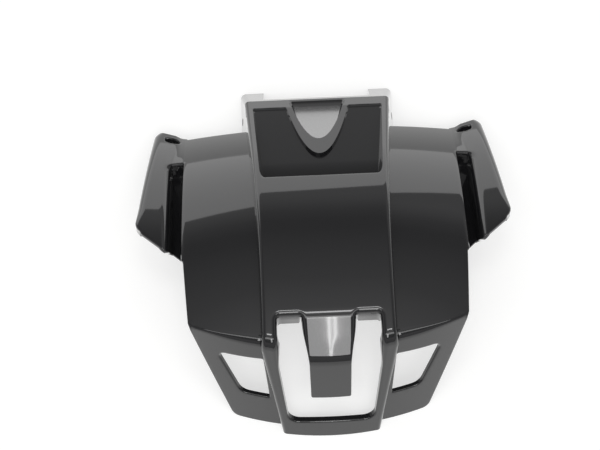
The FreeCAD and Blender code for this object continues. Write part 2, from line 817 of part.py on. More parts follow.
def channel_block(name, grow, front, rear):
    """The channel between wing and ear, from its floor up; grown for its walls."""
    inner_half = of("wing_half") - grow
    outer_half = channel_half + grow
    corners = [Corner(inner_half, front(inner_half)), Corner(outer_half, front(outer_half)),
               Corner(outer_half, rear), Corner(inner_half, rear)]
    body = prism(name, "XY_Plane", corners, (0, 0, 0), size(200.0))
    fall = tan(of("channel_slope"))
    near = size(40.0)
    beyond = size(330.0)
    floor = of("channel_floor") - grow

    def level(y):
        return floor - (y - of("wing_front_setback")) * fall

    outline = [Corner(near, level(near)), Corner(beyond, level(beyond)),
               Corner(beyond, -FAR), Corner(near, -FAR)]
    sketch = sketch_on(body, "YZ_Plane", f"{name}_floor_line", [outline], (0, 0, FAR))
    feature(body, "Pocket", f"{name}_floor", sketch, FAR * 2)
    return body


channel_rear = of("ear_shoulder_setback") + of("channel_width")
channel_walls = channel_block("channel_walls", wall, front_line, channel_rear)
channel_space = channel_block("channel_space", size(0), lambda half: front_line(half) - 60.0, channel_rear)
channel = join("MultiCommon", "channel", [channel_walls, hood_full])

ear_oval = doc.addObject("Part::Ellipse", "ear_oval")
ear_oval.setExpression("MajorRadius", of("ear_hole_long").text)
ear_oval.setExpression("MinorRadius", of("ear_hole_short").text)
ear_oval.Placement = FreeCAD.Placement(V(0, 0, 0), FreeCAD.Rotation(V(0, 0, 1), of("ear_hole_turn").value))
ear_oval.setExpression("Placement.Rotation.Angle", of("ear_hole_turn").text)
ear_oval.setExpression("Placement.Base.x", (channel_half + of("ear_hole_offset")).text)
ear_oval.setExpression("Placement.Base.y", of("ear_hole_setback").text)
ear_hole = doc.addObject("Part::Extrusion", "ear_hole")
ear_hole.Base = ear_oval
ear_hole.DirMode = "Custom"
ear_hole.Dir = V(0, 0, 1)
ear_hole.setExpression("LengthFwd", of("hood_crest").text)
ear_hole.Solid = True
doc.recompute()

ear_spaces = join("MultiFuse", "ear_spaces", [ear_space, channel_space, ear_hole])
ears = join("MultiFuse", "ears", [ear, channel])


# Screw bosses under the band

def upright(name, radius, height, x, y, z):
    """A round post or bore along Z."""
    made = doc.addObject("Part::Cylinder", name)
    made.setExpression("Radius", radius.text)
    made.setExpression("Height", height.text)
    for axis, place in zip("xyz", (x, y, z)):
        made.setExpression(f"Placement.Base.{axis}", place.text)
    return made


posts = []
bores = []
for side, side_name in ((1.0, "right"), (-1.0, "left")):
    for row, row_name in ((1.0, "rear"), (-1.0, "front")):
        name = f"{row_name}_{side_name}"
        x = of("boss_spread") / 2.0 * side
        y = of("boss_setback") + of("boss_pitch") / 2.0 * row
        seat = of("boss_seat")
        depth = of("boss_bore_depth")
        height = of("hood_crest") + of("band_proud") - seat
        posts.append(upright(f"post_{name}", of("boss_radius"), height, x, y, seat))
        bores.append(upright(f"bore_{name}", of("boss_bore"), depth * 2.0, x, y, seat - depth))
boss_room = band_volume("boss_room", wall / 2.0, size(0), SHARP)
boss_posts = join("MultiFuse", "boss_posts", posts)
bosses = join("MultiCommon", "bosses", [boss_posts, boss_room])


# The moulding: everything solid joined, then everything open cut away

solid = join("MultiFuse", "solid", [skin, ears, mirror("ears_left", ears), bosses])
hollows = [dish, scoop, openings, leg_gap, leg_hole, ear_spaces, mirror("ear_spaces_left", ear_spaces)]
open_space = join("MultiFuse", "open_space", hollows + bores)
front_panel = doc.addObject("Part::Cut", "front_panel")
front_panel.Base = solid
front_panel.Tool = open_space
front_panel.Label = "front_panel"
front_panel.setExpression("Placement.Base.y", ((foot_front_y + foot_rear_y) / -2.0).text)
doc.recompute()

# Check every object, then write the solid

for item in doc.Objects:
    if "Invalid" in item.State or "Error" in item.State:
        raise RuntimeError(f"{item.Name} failed: {item.State}")
shape = front_panel.Shape
if shape.isNull() or not shape.isValid():
    raise RuntimeError("front_panel has no valid shape")
if len(shape.Solids) != 1:
    raise RuntimeError(f"front_panel has {len(shape.Solids)} solids")
os.makedirs("parts", exist_ok=True)
shape.exportStep(f"parts/{front_panel.Label}.step")
box = shape.optimalBoundingBox()
print(front_panel.Label, round(box.XLength, 1), round(box.YLength, 1), round(box.ZLength, 1), "mm")
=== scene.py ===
"""Scooter front panel: a gloss black moulding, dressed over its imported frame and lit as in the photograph.

Lengths in the form classes are millimetres in the maker's frame, with y = 0 at the brow.
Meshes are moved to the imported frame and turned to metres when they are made.
"""

import logging
import math
from dataclasses import dataclass, field
from enum import Enum, IntEnum
from typing import Callable

import bpy
import numpy as np
from mathutils import Matrix, Vector
from mathutils.geometry import delaunay_2d_cdt


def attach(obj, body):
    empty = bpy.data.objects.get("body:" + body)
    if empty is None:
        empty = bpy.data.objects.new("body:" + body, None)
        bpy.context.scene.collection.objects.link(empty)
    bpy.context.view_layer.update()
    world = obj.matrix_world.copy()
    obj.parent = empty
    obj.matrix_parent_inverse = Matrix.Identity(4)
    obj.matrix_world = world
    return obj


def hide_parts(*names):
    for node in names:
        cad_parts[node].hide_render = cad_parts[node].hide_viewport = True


Array = np.ndarray
Place = tuple[float, float]
Span = tuple[float, float]
LOG = logging.getLogger("front_panel")
MM = 0.001
NODE = "front_panel"

# Turn between the points of a round corner, in degrees, and the least length that counts
ARC_STEP = 9.0
TINY = 1e-9

# Mirror images of points and of flat places
MIRROR = np.array((-1.0, 1.0, 1.0))
FLAT_MIRROR = np.array((-1.0, 1.0))

# The band's half width at its height, the draft of its walls, and its half width at the front's foot
BAND_HALF = 64.0
BAND_HEIGHT = 125.0
BAND_DRAFT = 7.6
FRONT_FOOT_HALF = 48.5


# Small helpers for numbers and outlines

def ease(low: float, high: float, value: Array) -> Array:
    """Smooth step from 0 at low to 1 at high.

    Args:
        low: Where the step starts.
        high: Where the step ends.
        value: Places to evaluate.

    Returns:
        The step's height at each place.
    """
    share = np.clip((np.asarray(value, float) - low) / (high - low), 0.0, 1.0)
    return share * share * (3.0 - 2.0 * share)


def lerp(start: Array, end: Array, share: Array) -> Array:
    """Straight blend from start to end."""
    return start + (end - start) * share


def grade(degrees: float) -> float:
    """Rise of a slope for each unit of its run."""
    return math.tan(math.radians(degrees))


def sagitta(radius: Array, x: Array) -> Array:
    """How far an arc falls away at a distance from its middle."""
    return radius - np.sqrt(radius**2 - x**2)


def unit(rows: Array) -> Array:
    """Rows brought to length one."""
    return rows / np.linalg.norm(rows, axis=1, keepdims=True)


def pairs(first: Array, second: Array) -> Array:
    """Rows of two values, where a single number goes with every row."""
    return np.stack(np.broadcast_arrays(first, second), 1)


def ladder(stops: list[float], steps: tuple[float, ...]) -> Array:
    """Places from stop to stop, each stretch with a step of its own.

    Args:
        stops: Ends of the stretches in order.
        steps: The step of each stretch.

    Returns:
        The places in order.
    """
    return np.concatenate([np.arange(*stretch) for stretch in zip(stops[:-1], stops[1:], steps)])


def soft_least(first: Array, second: Array, round_off: float) -> Array:
    """The lesser of two heights, with the corner between them rounded.

    Args:
        first: Heights of one surface.
        second: Heights of the other.
        round_off: How far from the corner the round reaches, in height.

    Returns:
        The lesser height at each place.
    """
    apart = np.maximum(round_off - np.abs(first - second), 0.0)
    return np.minimum(first, second) - apart**2 / (4.0 * round_off)


def spaced(points: list[Place], step: float) -> Array:
    """Divide an open polyline into pieces no longer than a step.

    Args:
        points: Corners of the polyline.
        step: Longest piece.

    Returns:
        The divided polyline, one row per point.
    """
    rows = [np.array(points[0], float)]
    for a, b in zip(points[:-1], points[1:]):
        a = np.array(a, float)
        b = np.array(b, float)
        count = max(1, math.ceil(np.linalg.norm(b - a) / step))
        rows += [a + (b - a) * i / count for i in range(1, count + 1)]
    return np.array(rows)


def rounded(corners: list[tuple[float, float, float]], closed: bool = True) -> list[Place]:
    """Round the corners of an outline.

    Args:
        corners: (x, y, radius) of each corner, radius 0 for a sharp one.
        closed: Whether the last corner joins the first.

    Returns:
        The outline's points, with each round corner as a short arc.
    """
    points: list[Place] = []
    count = len(corners)
    for i, (x, y, radius) in enumerate(corners):
        here = np.array((x, y))
        at_end = not closed and i in (0, count - 1)
        if radius <= 0.0 or at_end:
            points.append((x, y))
            continue
        back = np.array(corners[i - 1][:2]) - here
        ahead = np.array(corners[(i + 1) % count][:2]) - here
        back /= np.linalg.norm(back)
        ahead /= np.linalg.norm(ahead)
        half = 0.5 * math.acos(float(np.clip(back @ ahead, -1.0, 1.0)))
        reach = radius / math.tan(half)
        start = here + back * reach
        middle = here + (back + ahead) / np.linalg.norm(back + ahead) * radius / math.sin(half)
        first = start - middle
        last = here + ahead * reach - middle
        turn = math.atan2(first[0] * last[1] - first[1] * last[0], float(first @ last))
        steps = max(3, math.ceil(abs(turn) / math.radians(ARC_STEP)))
        for k in range(steps + 1):
            angle = turn * k / steps
            spin = np.array(((math.cos(angle), -math.sin(angle)), (math.sin(angle), math.cos(angle))))
            points.append(tuple(middle + spin @ first))
    return points


def inside(points: Array, outline: Array) -> Array:
    """Which points lie inside a closed outline.

    Args:
        points: Places to test, one row each.
        outline: Corners of the outline in order.

    Returns:
        A true or false for each point.
    """
    x = points[:, 0]
    y = points[:, 1]
    hit = np.zeros(len(points), bool)
    for (ax, ay), (bx, by) in zip(outline, np.roll(outline, -1, axis=0)):
        crosses = (ay > y) != (by > y)
        run = np.where(crosses, (bx - ax) * (y - ay) / np.where(by == ay, 1.0, by - ay) + ax, 0.0)
        hit ^= crosses & (x < run)
    return hit


# The panel's form

@dataclass(frozen=True)
class SideLine:
    """Side view of one level of the skin: leaning chin, rounded brow, hood arc and, on the band, a flat land.

    Places on it are (x, s): x across, s along the line from the crest, negative towards the chin.
    """

    rise: float = 0.0
    chin_rise: float = 0.0
    brow_round: float = 10.0
    brow_round_outer: float = 10.0
    brow_fade: Span = (70.0, 128.0)
    crown: float = 0.0
    land_tilt: float = 90.0
    hood_radius: float = 352.0
    hood_crest: float = 128.6
    crest_setback: float = 33.0
    chin_slope: float = 71.5
    chin_radius: float = 306.0
    chin_reach: float = 42.5

    @property
    def radius(self) -> float:
        """Radius of the hood arc at this level."""
        return self.hood_radius + self.rise

    @property
    def land_start(self) -> float:
        """Where the flat land starts along the line."""
        return self.radius * math.radians(self.land_tilt)

    def brow(self, x: Array) -> dict[str, Array]:
        """Work out the rounded brow at places across.

        Args:
            x: Places across.

        Returns:
            The brow's radius, centre, tilt where it meets the hood, and its start and end along the line.
        """
        slope = math.radians(self.chin_slope)
        out_y = -math.sin(slope)
        out_z = math.cos(slope)
        radius = lerp(self.brow_round, self.brow_round_outer, ease(*self.brow_fade, np.abs(x)))
        bow = sagitta(self.chin_radius, x)
        drop = sagitta(self.crown, x) if self.crown else 0.0 * x
        axis_z = self.hood_crest - self.hood_radius - drop
        inset = self.chin_rise - bow - radius
        line_y = -self.chin_reach + inset * out_y - self.crest_setback
        line_z = inset * out_z - axis_z
        along = line_y * math.cos(slope) + line_z * math.sin(slope)
        gap = line_y**2 + line_z**2 - (self.radius - radius) ** 2
        reach = -along + np.sqrt(along**2 - gap)
        centre_y = line_y + reach * math.cos(slope)
        centre_z = line_z + reach * math.sin(slope)
        tilt = np.arctan2(centre_y, centre_z)
        start = self.radius * tilt
        return {
            "radius": radius, "tilt": tilt, "start": start, "end": start - radius * (tilt + slope),
            "y": centre_y + self.crest_setback, "z": centre_z + axis_z, "axis_z": axis_z,
        }

    def place(self, x: Array, s: Array) -> Array:
        """Points on this level.

        Args:
            x: Places across.
            s: Places along the line.

        Returns:
            One row of x, y, z per place.
        """
        x = np.asarray(x, float)
        s = np.asarray(s, float)
        brow = self.brow(x)
        slope = math.radians(self.chin_slope)
        on_hood = s >= brow["start"]
        hood_tilt = np.minimum(s, self.land_start) / self.radius
        brow_tilt = np.maximum(brow["tilt"] + (s - brow["start"]) / brow["radius"], -slope)
        flat = np.maximum(s - self.land_start, 0.0)
        down = np.maximum(brow["end"] - s, 0.0)
        hood_y = self.crest_setback + self.radius * np.sin(hood_tilt) + flat * np.cos(hood_tilt)
        hood_z = brow["axis_z"] + self.radius * np.cos(hood_tilt) - flat * np.sin(hood_tilt)
        if self.crown:
            fall = self.radius * (1.0 - np.cos(hood_tilt))
            hood_z -= sagitta(self.crown - fall, x) - sagitta(self.crown, x)
        chin_y = brow["y"] + brow["radius"] * np.sin(brow_tilt) - down * math.cos(slope)
        chin_z = brow["z"] + brow["radius"] * np.cos(brow_tilt) - down * math.sin(slope)
        y = np.where(on_hood, hood_y, chin_y)
        z = np.where(on_hood, hood_z, chin_z)
        return np.stack([x + 0.0 * y, y, z], -1)

    def at_setback(self, y: Array) -> Array:
        """Find setbacks on the hood or land.

        Args:
            y: The setbacks.

        Returns:
            The place of each along the line.
        """
        y = np.asarray(y, float)
        tilt = math.radians(self.land_tilt)
        land_y = self.crest_setback + self.radius * math.sin(min(tilt, math.pi / 2))
        share = np.clip((y - self.crest_setback) / self.radius, -1.0, 1.0)
        on_arc = self.radius * np.arcsin(share)
        if self.land_tilt >= 90.0:
            return on_arc
        return np.where(y > land_y, self.land_start + (y - land_y) / math.cos(tilt), on_arc)

    def at_height(self, x: Array, z: Array) -> Array:
        """Find heights on the chin.

        Args:
            x: Places across.
            z: The heights.

        Returns:
            The place of each along the line.
        """
        brow = self.brow(np.asarray(x, float))
        slope = math.radians(self.chin_slope)
        foot_z = brow["z"] + brow["radius"] * math.cos(slope)
        return brow["end"] - (foot_z - np.asarray(z, float)) / math.sin(slope)


WING = SideLine(brow_round=10.0, brow_round_outer=3.0, crown=850.0)
BAND = SideLine(rise=12.0, chin_rise=9.0, brow_round=16.0, brow_round_outer=16.0, land_tilt=31.0)


class Lip(Enum):
    """How a trimmed edge of the skin is finished: its round and the wall that turns in behind it."""

    CUT = (1.0, 1.6)
    EAR_FRONT = (1.2, 2.6)
    OVAL = (1.6, 9.0)
    WINDOW = (1.5, 3.0)
    SLOT = (5.4, 19.0)
    LEG_HOLE = (0.6, 1.8)

    @property
    def round(self) -> float:
        """Radius of the edge."""
        return self.value[0]

    @property
    def wall(self) -> float:
        """Depth of the turned-in wall."""
        return self.value[1]


Mapping = Callable[[Array, Array], Array]


@dataclass
class SkinMesh:
    """Collects the points and triangles of the panel's outer skin."""

    points: list[Array] = field(default_factory=list)
    faces: list[Array] = field(default_factory=list)
    count: int = 0

    def add(self, points: Array, faces: Array) -> None:
        """Add points and triangles.

        Args:
            points: One row of x, y, z per point.
            faces: One row of three point numbers per triangle.
        """
        self.points.append(points)
        self.faces.append(faces + self.count)
        self.count += len(points)

    def add_both(self, points: Array, faces: Array) -> None:
        """Add points and triangles of the right side, and their mirror image."""
        self.add(points, faces)
        self.add(points * MIRROR, faces[:, ::-1])

    def grid(self, rows: Array, both: bool = False) -> None:
        """Add a grid of points as triangles.

        Args:
            rows: Points by row, column and axis.
            both: Whether its mirror image is added too.
        """
        high, wide = rows.shape[:2]
        number = np.arange(high * wide).reshape(high, wide)
        a = number[:-1, :-1].ravel()
        b = number[:-1, 1:].ravel()
        c = number[1:, 1:].ravel()
        d = number[1:, :-1].ravel()
        faces = np.concatenate([np.stack([a, b, c], 1), np.stack([a, c, d], 1)])
        points = rows.reshape(-1, 3)
        if both:
            self.add_both(points, faces)
        else:
            self.add(points, faces)


@dataclass
class Trimmed:
    """A stretch of skin over a flat outline with holes, divided finely enough to curve.

    Places in the outline are (across, along), and a mapping turns them into points.
    """

    mapping: Mapping
    outline: Array
    holes: list[Array]
    across: Array
    along: Array
    creases: list[Array] = field(default_factory=list)
    clearance: float = 0.45
    merge: float = 1e-5
    probe: float = 0.05
    round_steps: int = 6
    wall_steps: int = 2

    def divide(self) -> tuple[Array, Array]:
        """Triangulate the outline.

        Returns:
            Flat places and the triangles between them.
        """
        chains = [(loop, True) for loop in [self.outline] + self.holes]
        chains += [(line, False) for line in self.creases]
        grid = np.stack(np.meshgrid(self.across, self.along), -1).reshape(-1, 2)
        grid = grid[inside(grid, self.outline)]
        for hole in self.holes:
            grid = grid[~inside(grid, hole)]
        keep = np.ones(len(grid), bool)
        links: list[tuple[int, int]] = []
        first = 0
        for chain, closed in chains:
            ends = np.roll(chain, -1, axis=0) if closed else chain[1:]
            for a, b in zip(chain, ends):
                run = b - a
                length = max(float(run @ run), TINY)
                share = np.clip(((grid - a) @ run) / length, 0.0, 1.0)
                away = np.linalg.norm(grid - a - share[:, None] * run, axis=1)
                keep &= away > self.clearance
            size = len(chain)
            links += [(first + i, first + (i + 1) % size) for i in range(len(ends))]
            first += size
        places = np.concatenate([chain for chain, _ in chains] + [grid[keep]])
        flat, _, faces, _, _, _ = delaunay_2d_cdt([Vector(p) for p in places], links, [], 0, self.merge)
        flat = np.array([tuple(p) for p in flat])
        faces = np.array([f for f in faces if len(f) == 3])
        middle = flat[faces].mean(axis=1)
        wanted = inside(middle, self.outline)
        for hole in self.holes:
            wanted &= ~inside(middle, hole)
        return flat, faces[wanted]

    def build(self) -> tuple[Array, Array]:
        """Build the stretch.

        Returns:
            Its points and outward triangles.
        """
        flat, faces = self.divide()
        a, b, c = (flat[faces[:, i]] for i in range(3))
        turn = (b[:, 0] - a[:, 0]) * (c[:, 1] - a[:, 1]) - (b[:, 1] - a[:, 1]) * (c[:, 0] - a[:, 0])
        faces = np.where((turn > 0)[:, None], faces, faces[:, ::-1])
        return self.mapping(flat[:, 0], flat[:, 1]), faces

    def normals(self, places: Array) -> Array:
        """Outward normals of the skin.

        Args:
            places: Flat places, one row each.

        Returns:
            The normal at each.
        """
        u = places[:, 0]
        v = places[:, 1]
        across = self.mapping(u + self.probe, v) - self.mapping(u - self.probe, v)
        along = self.mapping(u, v + self.probe) - self.mapping(u, v - self.probe)
        return unit(np.cross(across, along))

    def lip(self, edge: Array, lip: Lip, closed: bool, rounds: Array | None = None,
            walls: Array | None = None) -> Array:
        """A rounded edge with its turned-in wall along part of the outline.

        Args:
            edge: Flat places along the edge, with the skin on their left.
            lip: How the edge is finished.
            closed: Whether the edge runs all round.
            rounds: Radius at each place, where it varies.
            walls: Depth of the wall at each place, where it varies.

        Returns:
            Rows of points from the skin to the end of the wall.
        """
        radius = np.full(len(edge), lip.round) if rounds is None else rounds
        depth = np.full(len(edge), lip.wall) if walls is None else walls
        points = self.mapping(edge[:, 0], edge[:, 1])
        normal = self.normals(edge)
        if closed:
            ahead = np.roll(points, -1, axis=0) - np.roll(points, 1, axis=0)
        else:
            ahead = np.gradient(points, axis=0)
        out = unit(np.cross(unit(ahead), normal))
        rows = []
        for k in range(self.round_steps + 1):
            angle = 0.5 * math.pi * k / self.round_steps
            bend = out * math.sin(angle) - normal * (1.0 - math.cos(angle))
            rows.append(points + bend * radius[:, None])
        for k in range(1, self.wall_steps + 1):
            rows.append(rows[self.round_steps] - normal * depth[:, None] * k / self.wall_steps)
        band = np.stack(rows)
        if closed:
            band = np.concatenate([band, band[:, :1]], axis=1)
        return band[:, ::-1]


# Wings, chin sides, channels and ears

class Strip(IntEnum):
    """Strips of the cross-section from the wing's edge over the channel and ear, and its end."""

    EDGE = 0
    NEAR_WALL = 1
    FLOOR = 2
    FAR_WALL = 3
    INNER_ROUND = 4
    TOP = 5
    OUTER_ROUND = 6
    SKIRT = 7
    END = 8


@dataclass
class WingSkin:
    """The skin each side of the band, from the chin's foot over the hood to the ear's skirt."""

    # Wing and chin
    edge_half: float = 137.0
    edge_gap: float = 1.0
    edge_round: float = 1.5
    brow_half: float = 131.5
    brow_setback: float = 31.0
    brow_height: float = 112.0
    front_setback: float = 97.0
    chin_foot_half: float = 96.0
    chin_slant: float = 35.5 / 117.0
    chin_corner_round: float = 8.0
    rear_tilt: float = 41.5
    rear_bow: float = 0.0003
    rear_height: float = 35.0

    # Inner edge, tucked into the band
    tuck: float = 1.5
    inner_setback: float = 14.0
    inner_heights: Span = (104.0, 2.0)

    # Channel
    channel_floor: float = 83.0
    channel_slope: float = 17.0
    channel_setback: float = 0.4
    channel_end: Span = (212.0, 223.0)
    channel_walls: Span = (138.5, 151.5)
    channel_least: float = 4.0
    channel_rear: float = 0.6
    channel_rear_round: float = 0.3
    wall_run: float = 0.6
    even_reach: Span = (-1.0, 14.0)

    # Ear
    front_angle: float = 42.0
    ear_round_inner: float = 8.5
    ear_round_outer: float = 8.0
    ear_round_front: float = 3.0
    ear_round_rear: float = 9.0
    ear_fade: Span = (138.0, 168.0)
    ear_lean: float = 6.2
    ear_rear_half: float = 170.5
    ear_rear: float = 275.0
    ear_root: Place = (136.5, 262.0)
    ear_radius: float = 480.0
    ear_crest: float = 118.3
    ear_crest_setback: float = -6.0
    ear_corner_round: float = 14.0
    ear_skirt: float = 11.0
    skirt_run: float = 0.8

    # Window and oval hole
    window_top: tuple[Place, Place] = ((63.5, 100.0), (107.5, 94.0))
    window_foot: tuple[Place, Place] = ((59.5, 41.0), (87.0, 41.0))
    window_rounds: tuple[float, float, float] = (3.0, 10.0, 7.0)
    window_slant: float = 1.3
    oval_middle: Place = (152.5, 259.0)
    oval_turn: float = 21.0
    oval_radii: Span = (9.6, 4.0)

    # Flat widths of the cross-section's strips, points along the edges, and steps of the mesh
    strips: tuple[float, ...] = (2.4, 8.0, 10.0, 8.0, 13.0, 20.0, 11.0, 9.0)
    rim_step: float = 2.0
    window_step: float = 1.6
    channel_points: int = 46
    ear_points: int = 32
    rear_points: int = 44
    wing_points: int = 30
    inner_points: int = 80
    oval_points: int = 40
    grid_inner: float = 46.0
    grid_ends: Span = (-190.0, 277.0)
    grid_across: tuple[float, ...] = (3.7, 1.2, 1.3, 2.4, 1.5)
    grid_along: tuple[float, ...] = (3.7, 1.1, 3.7, 0.9, 2.0)
    brow_middle: float = 8.0
    brow_reach: Span = (22.0, 24.0)
    end_reach: float = 3.0

    @property
    def marks(self) -> Array:
        """Where each strip of the cross-section starts, and where the last one ends."""
        return self.edge_half + np.concatenate([[0.0], np.cumsum(self.strips)])

    def front_line(self, x: Array) -> Array:
        """Setback of the ear's slanting front edge at places across."""
        return self.front_setback + self.edge_gap + (x - self.channel_walls[0]) * grade(self.front_angle)

    def corner(self) -> dict[str, Place]:
        """Work out the ear's round front corner.

        Returns:
            Its centre and where it meets the front and outer lines.
        """
        run = grade(self.ear_lean)
        rise = grade(self.front_angle)
        reach = self.ear_rear - self.front_setback - self.edge_gap + self.channel_walls[0] * rise
        half = (self.ear_rear_half + reach * run) / (1.0 + rise * run)
        sharp = np.array((half, float(self.front_line(half))))
        slant = math.radians(self.front_angle)
        lean = math.radians(self.ear_lean)
        front = np.array((-math.cos(slant), -math.sin(slant)))
        outer = np.array((-math.sin(lean), math.cos(lean)))
        turn = 0.5 * math.acos(float(front @ outer))
        reach = self.ear_corner_round / math.tan(turn)
        bisector = (front + outer) / np.linalg.norm(front + outer)
        return {
            "centre": tuple(sharp + bisector * self.ear_corner_round / math.sin(turn)),
            "front": tuple(sharp + front * reach),
            "outer": tuple(sharp + outer * reach),
        }

    def outer_half(self, y: Array) -> Array:
        """Half width of the ear's outer edge, round at both ends.

        Args:
            y: Setbacks.

        Returns:
            The half width at each.
        """
        corner = self.corner()
        y = np.maximum(np.asarray(y, float), corner["front"][1])
        line = self.ear_rear_half + (self.ear_rear - y) * grade(self.ear_lean)
        off = np.clip(y - corner["centre"][1], -self.ear_corner_round, self.ear_corner_round)
        arc = corner["centre"][0] + np.sqrt(self.ear_corner_round**2 - off**2)
        half = np.where(y < corner["outer"][1], arc, line)
        late = np.maximum(y - (self.ear_rear - self.ear_round_rear), 0.0)
        return half - late**2 / (2.0 * self.ear_round_rear)

    def ear_height(self, x: Array, y: Array) -> Array:
        """Height of the ear's top.

        Args:
            x: Half widths.
            y: Setbacks.

        Returns:
            The height at each place.
        """
        lean = math.radians(self.ear_lean)
        along = self.ear_rear + (y - self.ear_rear) * math.cos(lean)
        reach = along - (x - self.ear_rear_half) * math.sin(lean) - self.ear_crest_setback
        return self.ear_crest - self.ear_radius + np.sqrt(self.ear_radius**2 - reach**2)

    def section(self, u: Array, y: Array, wing_z: Array) -> tuple[Array, Array]:
        """Cross-section from the wing's edge over the channel and ear.

        Args:
            u: Places along the section.
            y: Setback of each place.
            wing_z: Height of the wing's edge there.

        Returns:
            Half widths and heights.
        """
        m = self.marks
        near, far = self.channel_walls
        behind = ease(*self.channel_end, y)
        floor_z = self.channel_floor - (y - self.front_setback) * grade(self.channel_slope)
        depth = lerp(np.maximum(wing_z - floor_z, self.channel_least), self.channel_rear, behind)
        outer = self.outer_half(y)
        outer_round = lerp(self.ear_round_front, self.ear_round_outer, ease(*self.ear_fade, y))
        ear_z = self.ear_height(far, y)
        edge_drop = np.minimum(self.edge_round, depth * 0.5)
        inner_drop = lerp(self.ear_round_inner, self.channel_rear_round, behind)
        share = [np.clip((u - m[i]) / (m[i + 1] - m[i]), 0.0, 1.0) for i in range(len(self.strips))]
        quarter = [0.5 * math.pi * part for part in share]
        x = self.edge_half + self.edge_round * np.sin(quarter[Strip.EDGE])
        x = x + self.wall_run * share[Strip.NEAR_WALL]
        x = x + (far - near - 2.0 * self.wall_run) * share[Strip.FLOOR]
        x = x + self.wall_run * share[Strip.FAR_WALL]
        x = x + self.ear_round_inner * (1.0 - np.cos(quarter[Strip.INNER_ROUND]))
        top_start = far + self.ear_round_inner
        level = np.clip((u - m[Strip.EDGE]) / (m[Strip.TOP] - m[Strip.EDGE]), 0.0, 1.0)
        even = self.edge_half + (top_start - self.edge_half) * level
        even_start, even_end = (self.channel_end[1] + reach for reach in self.even_reach)
        x = lerp(x, even, ease(even_start, even_end, y))
        x = x + (outer - outer_round - top_start) * share[Strip.TOP]
        x = x + outer_round * np.sin(quarter[Strip.OUTER_ROUND]) + self.skirt_run * share[Strip.SKIRT]
        near_floor = wing_z - depth
        far_floor = ear_z - depth
        z = wing_z - edge_drop * (1.0 - np.cos(quarter[Strip.EDGE]))
        z = z + (near_floor - wing_z + edge_drop) * share[Strip.NEAR_WALL]
        z = z + (far_floor - near_floor) * share[Strip.FLOOR]
        z = z + (ear_z - inner_drop - far_floor) * share[Strip.FAR_WALL]
        z = z + inner_drop * np.sin(quarter[Strip.INNER_ROUND])
        fall = self.ear_height(np.maximum(x, far), y) - ear_z
        z = z + np.where(u > m[Strip.INNER_ROUND], fall, 0.0)
        z = z - outer_round * (1.0 - np.cos(quarter[Strip.OUTER_ROUND])) - self.ear_skirt * share[Strip.SKIRT]
        return x, z

    def place(self, u: Array, s: Array) -> Array:
        """Points of the wing, chin side, channel and ear.

        Args:
            u: Places across: half width on the wing, and along the cross-section past its edge.
            s: Places along the hood's line.

        Returns:
            One row of x, y, z per place.
        """
        u = np.asarray(u, float)
        s = np.asarray(s, float)
        points = WING.place(np.minimum(u, self.edge_half), s)
        past = u > self.edge_half
        x, z = self.section(np.maximum(u, self.edge_half), points[:, 1], points[:, 2])
        points[:, 0] = np.where(past, x, points[:, 0])
        points[:, 2] = np.where(past, z, points[:, 2])
        return points

    def setback_places(self, places: list[Place], step: float) -> Array:
        """Turn places by section and setback into places along the hood's line."""
        path = spaced(places, step)
        return pairs(path[:, 0], WING.at_setback(path[:, 1]))

    def height_places(self, places: list[Place], step: float) -> Array:
        """Turn places by half width and height on the chin into places along the hood's line."""
        path = spaced(places, step)
        return pairs(path[:, 0], WING.at_height(path[:, 0], path[:, 1]))

    def rear_setback(self, u: Array) -> Array:
        """Setback of the rear edge across the wing and ear.

        Args:
            u: Places across.

        Returns:
            The setback at each.
        """
        passes = 12
        rear = np.full(np.shape(u), WING.radius * math.radians(self.rear_tilt))
        height = np.full(np.shape(u), self.rear_height)
        on_wing = WING.place(np.minimum(u, self.edge_half), rear)[:, 1] - self.rear_bow * u**2
        root_x, root_y = self.ear_root
        on_ear = np.full(np.shape(u), root_y)
        for _ in range(passes):
            x = self.section(np.maximum(u, self.edge_half), on_ear, height)[0]
            on_ear = root_y + (x - root_x) * (self.ear_rear - root_y) / (self.ear_rear_half - root_x)
        return np.where(u <= self.edge_half - self.edge_gap, on_wing, on_ear)

    def rear_edge(self, first: float, last: float, count: int) -> Array:
        """Work out a stretch of the rear edge.

        Args:
            first: Place across where it starts.
            last: Place across where it ends.
            count: Number of points.

        Returns:
            Flat places along the edge.
        """
        u = np.linspace(first, last, count)
        return pairs(u, WING.at_setback(self.rear_setback(u)))

    def front_edge(self) -> Array:
        """Work out the front edge of the channel and ear, set back where the channel sinks.

        Returns:
            Flat places along the edge, from the wing to the skirt.
        """
        passes = 6
        m = self.marks
        in_channel = np.linspace(self.edge_half, m[Strip.TOP], self.channel_points)
        on_ear = np.linspace(m[Strip.TOP], m[Strip.END], self.ear_points)[1:]
        u = np.concatenate([in_channel, on_ear])
        y = np.full(len(u), self.front_setback + self.edge_gap)
        limit = self.corner()["front"][1]
        for _ in range(passes):
            wing_z = WING.place(np.full(len(u), self.edge_half), WING.at_setback(y))[:, 2]
            x, z = self.section(u, y, wing_z)
            sunk = np.where(u < m[Strip.TOP], np.maximum(self.ear_height(x, y) - z, 0.0), 0.0)
            line = np.maximum(self.front_line(x), self.front_setback + 0.5 * self.edge_gap)
            y = np.minimum(line + self.channel_setback * sunk, limit)
        return pairs(u, WING.at_setback(y))

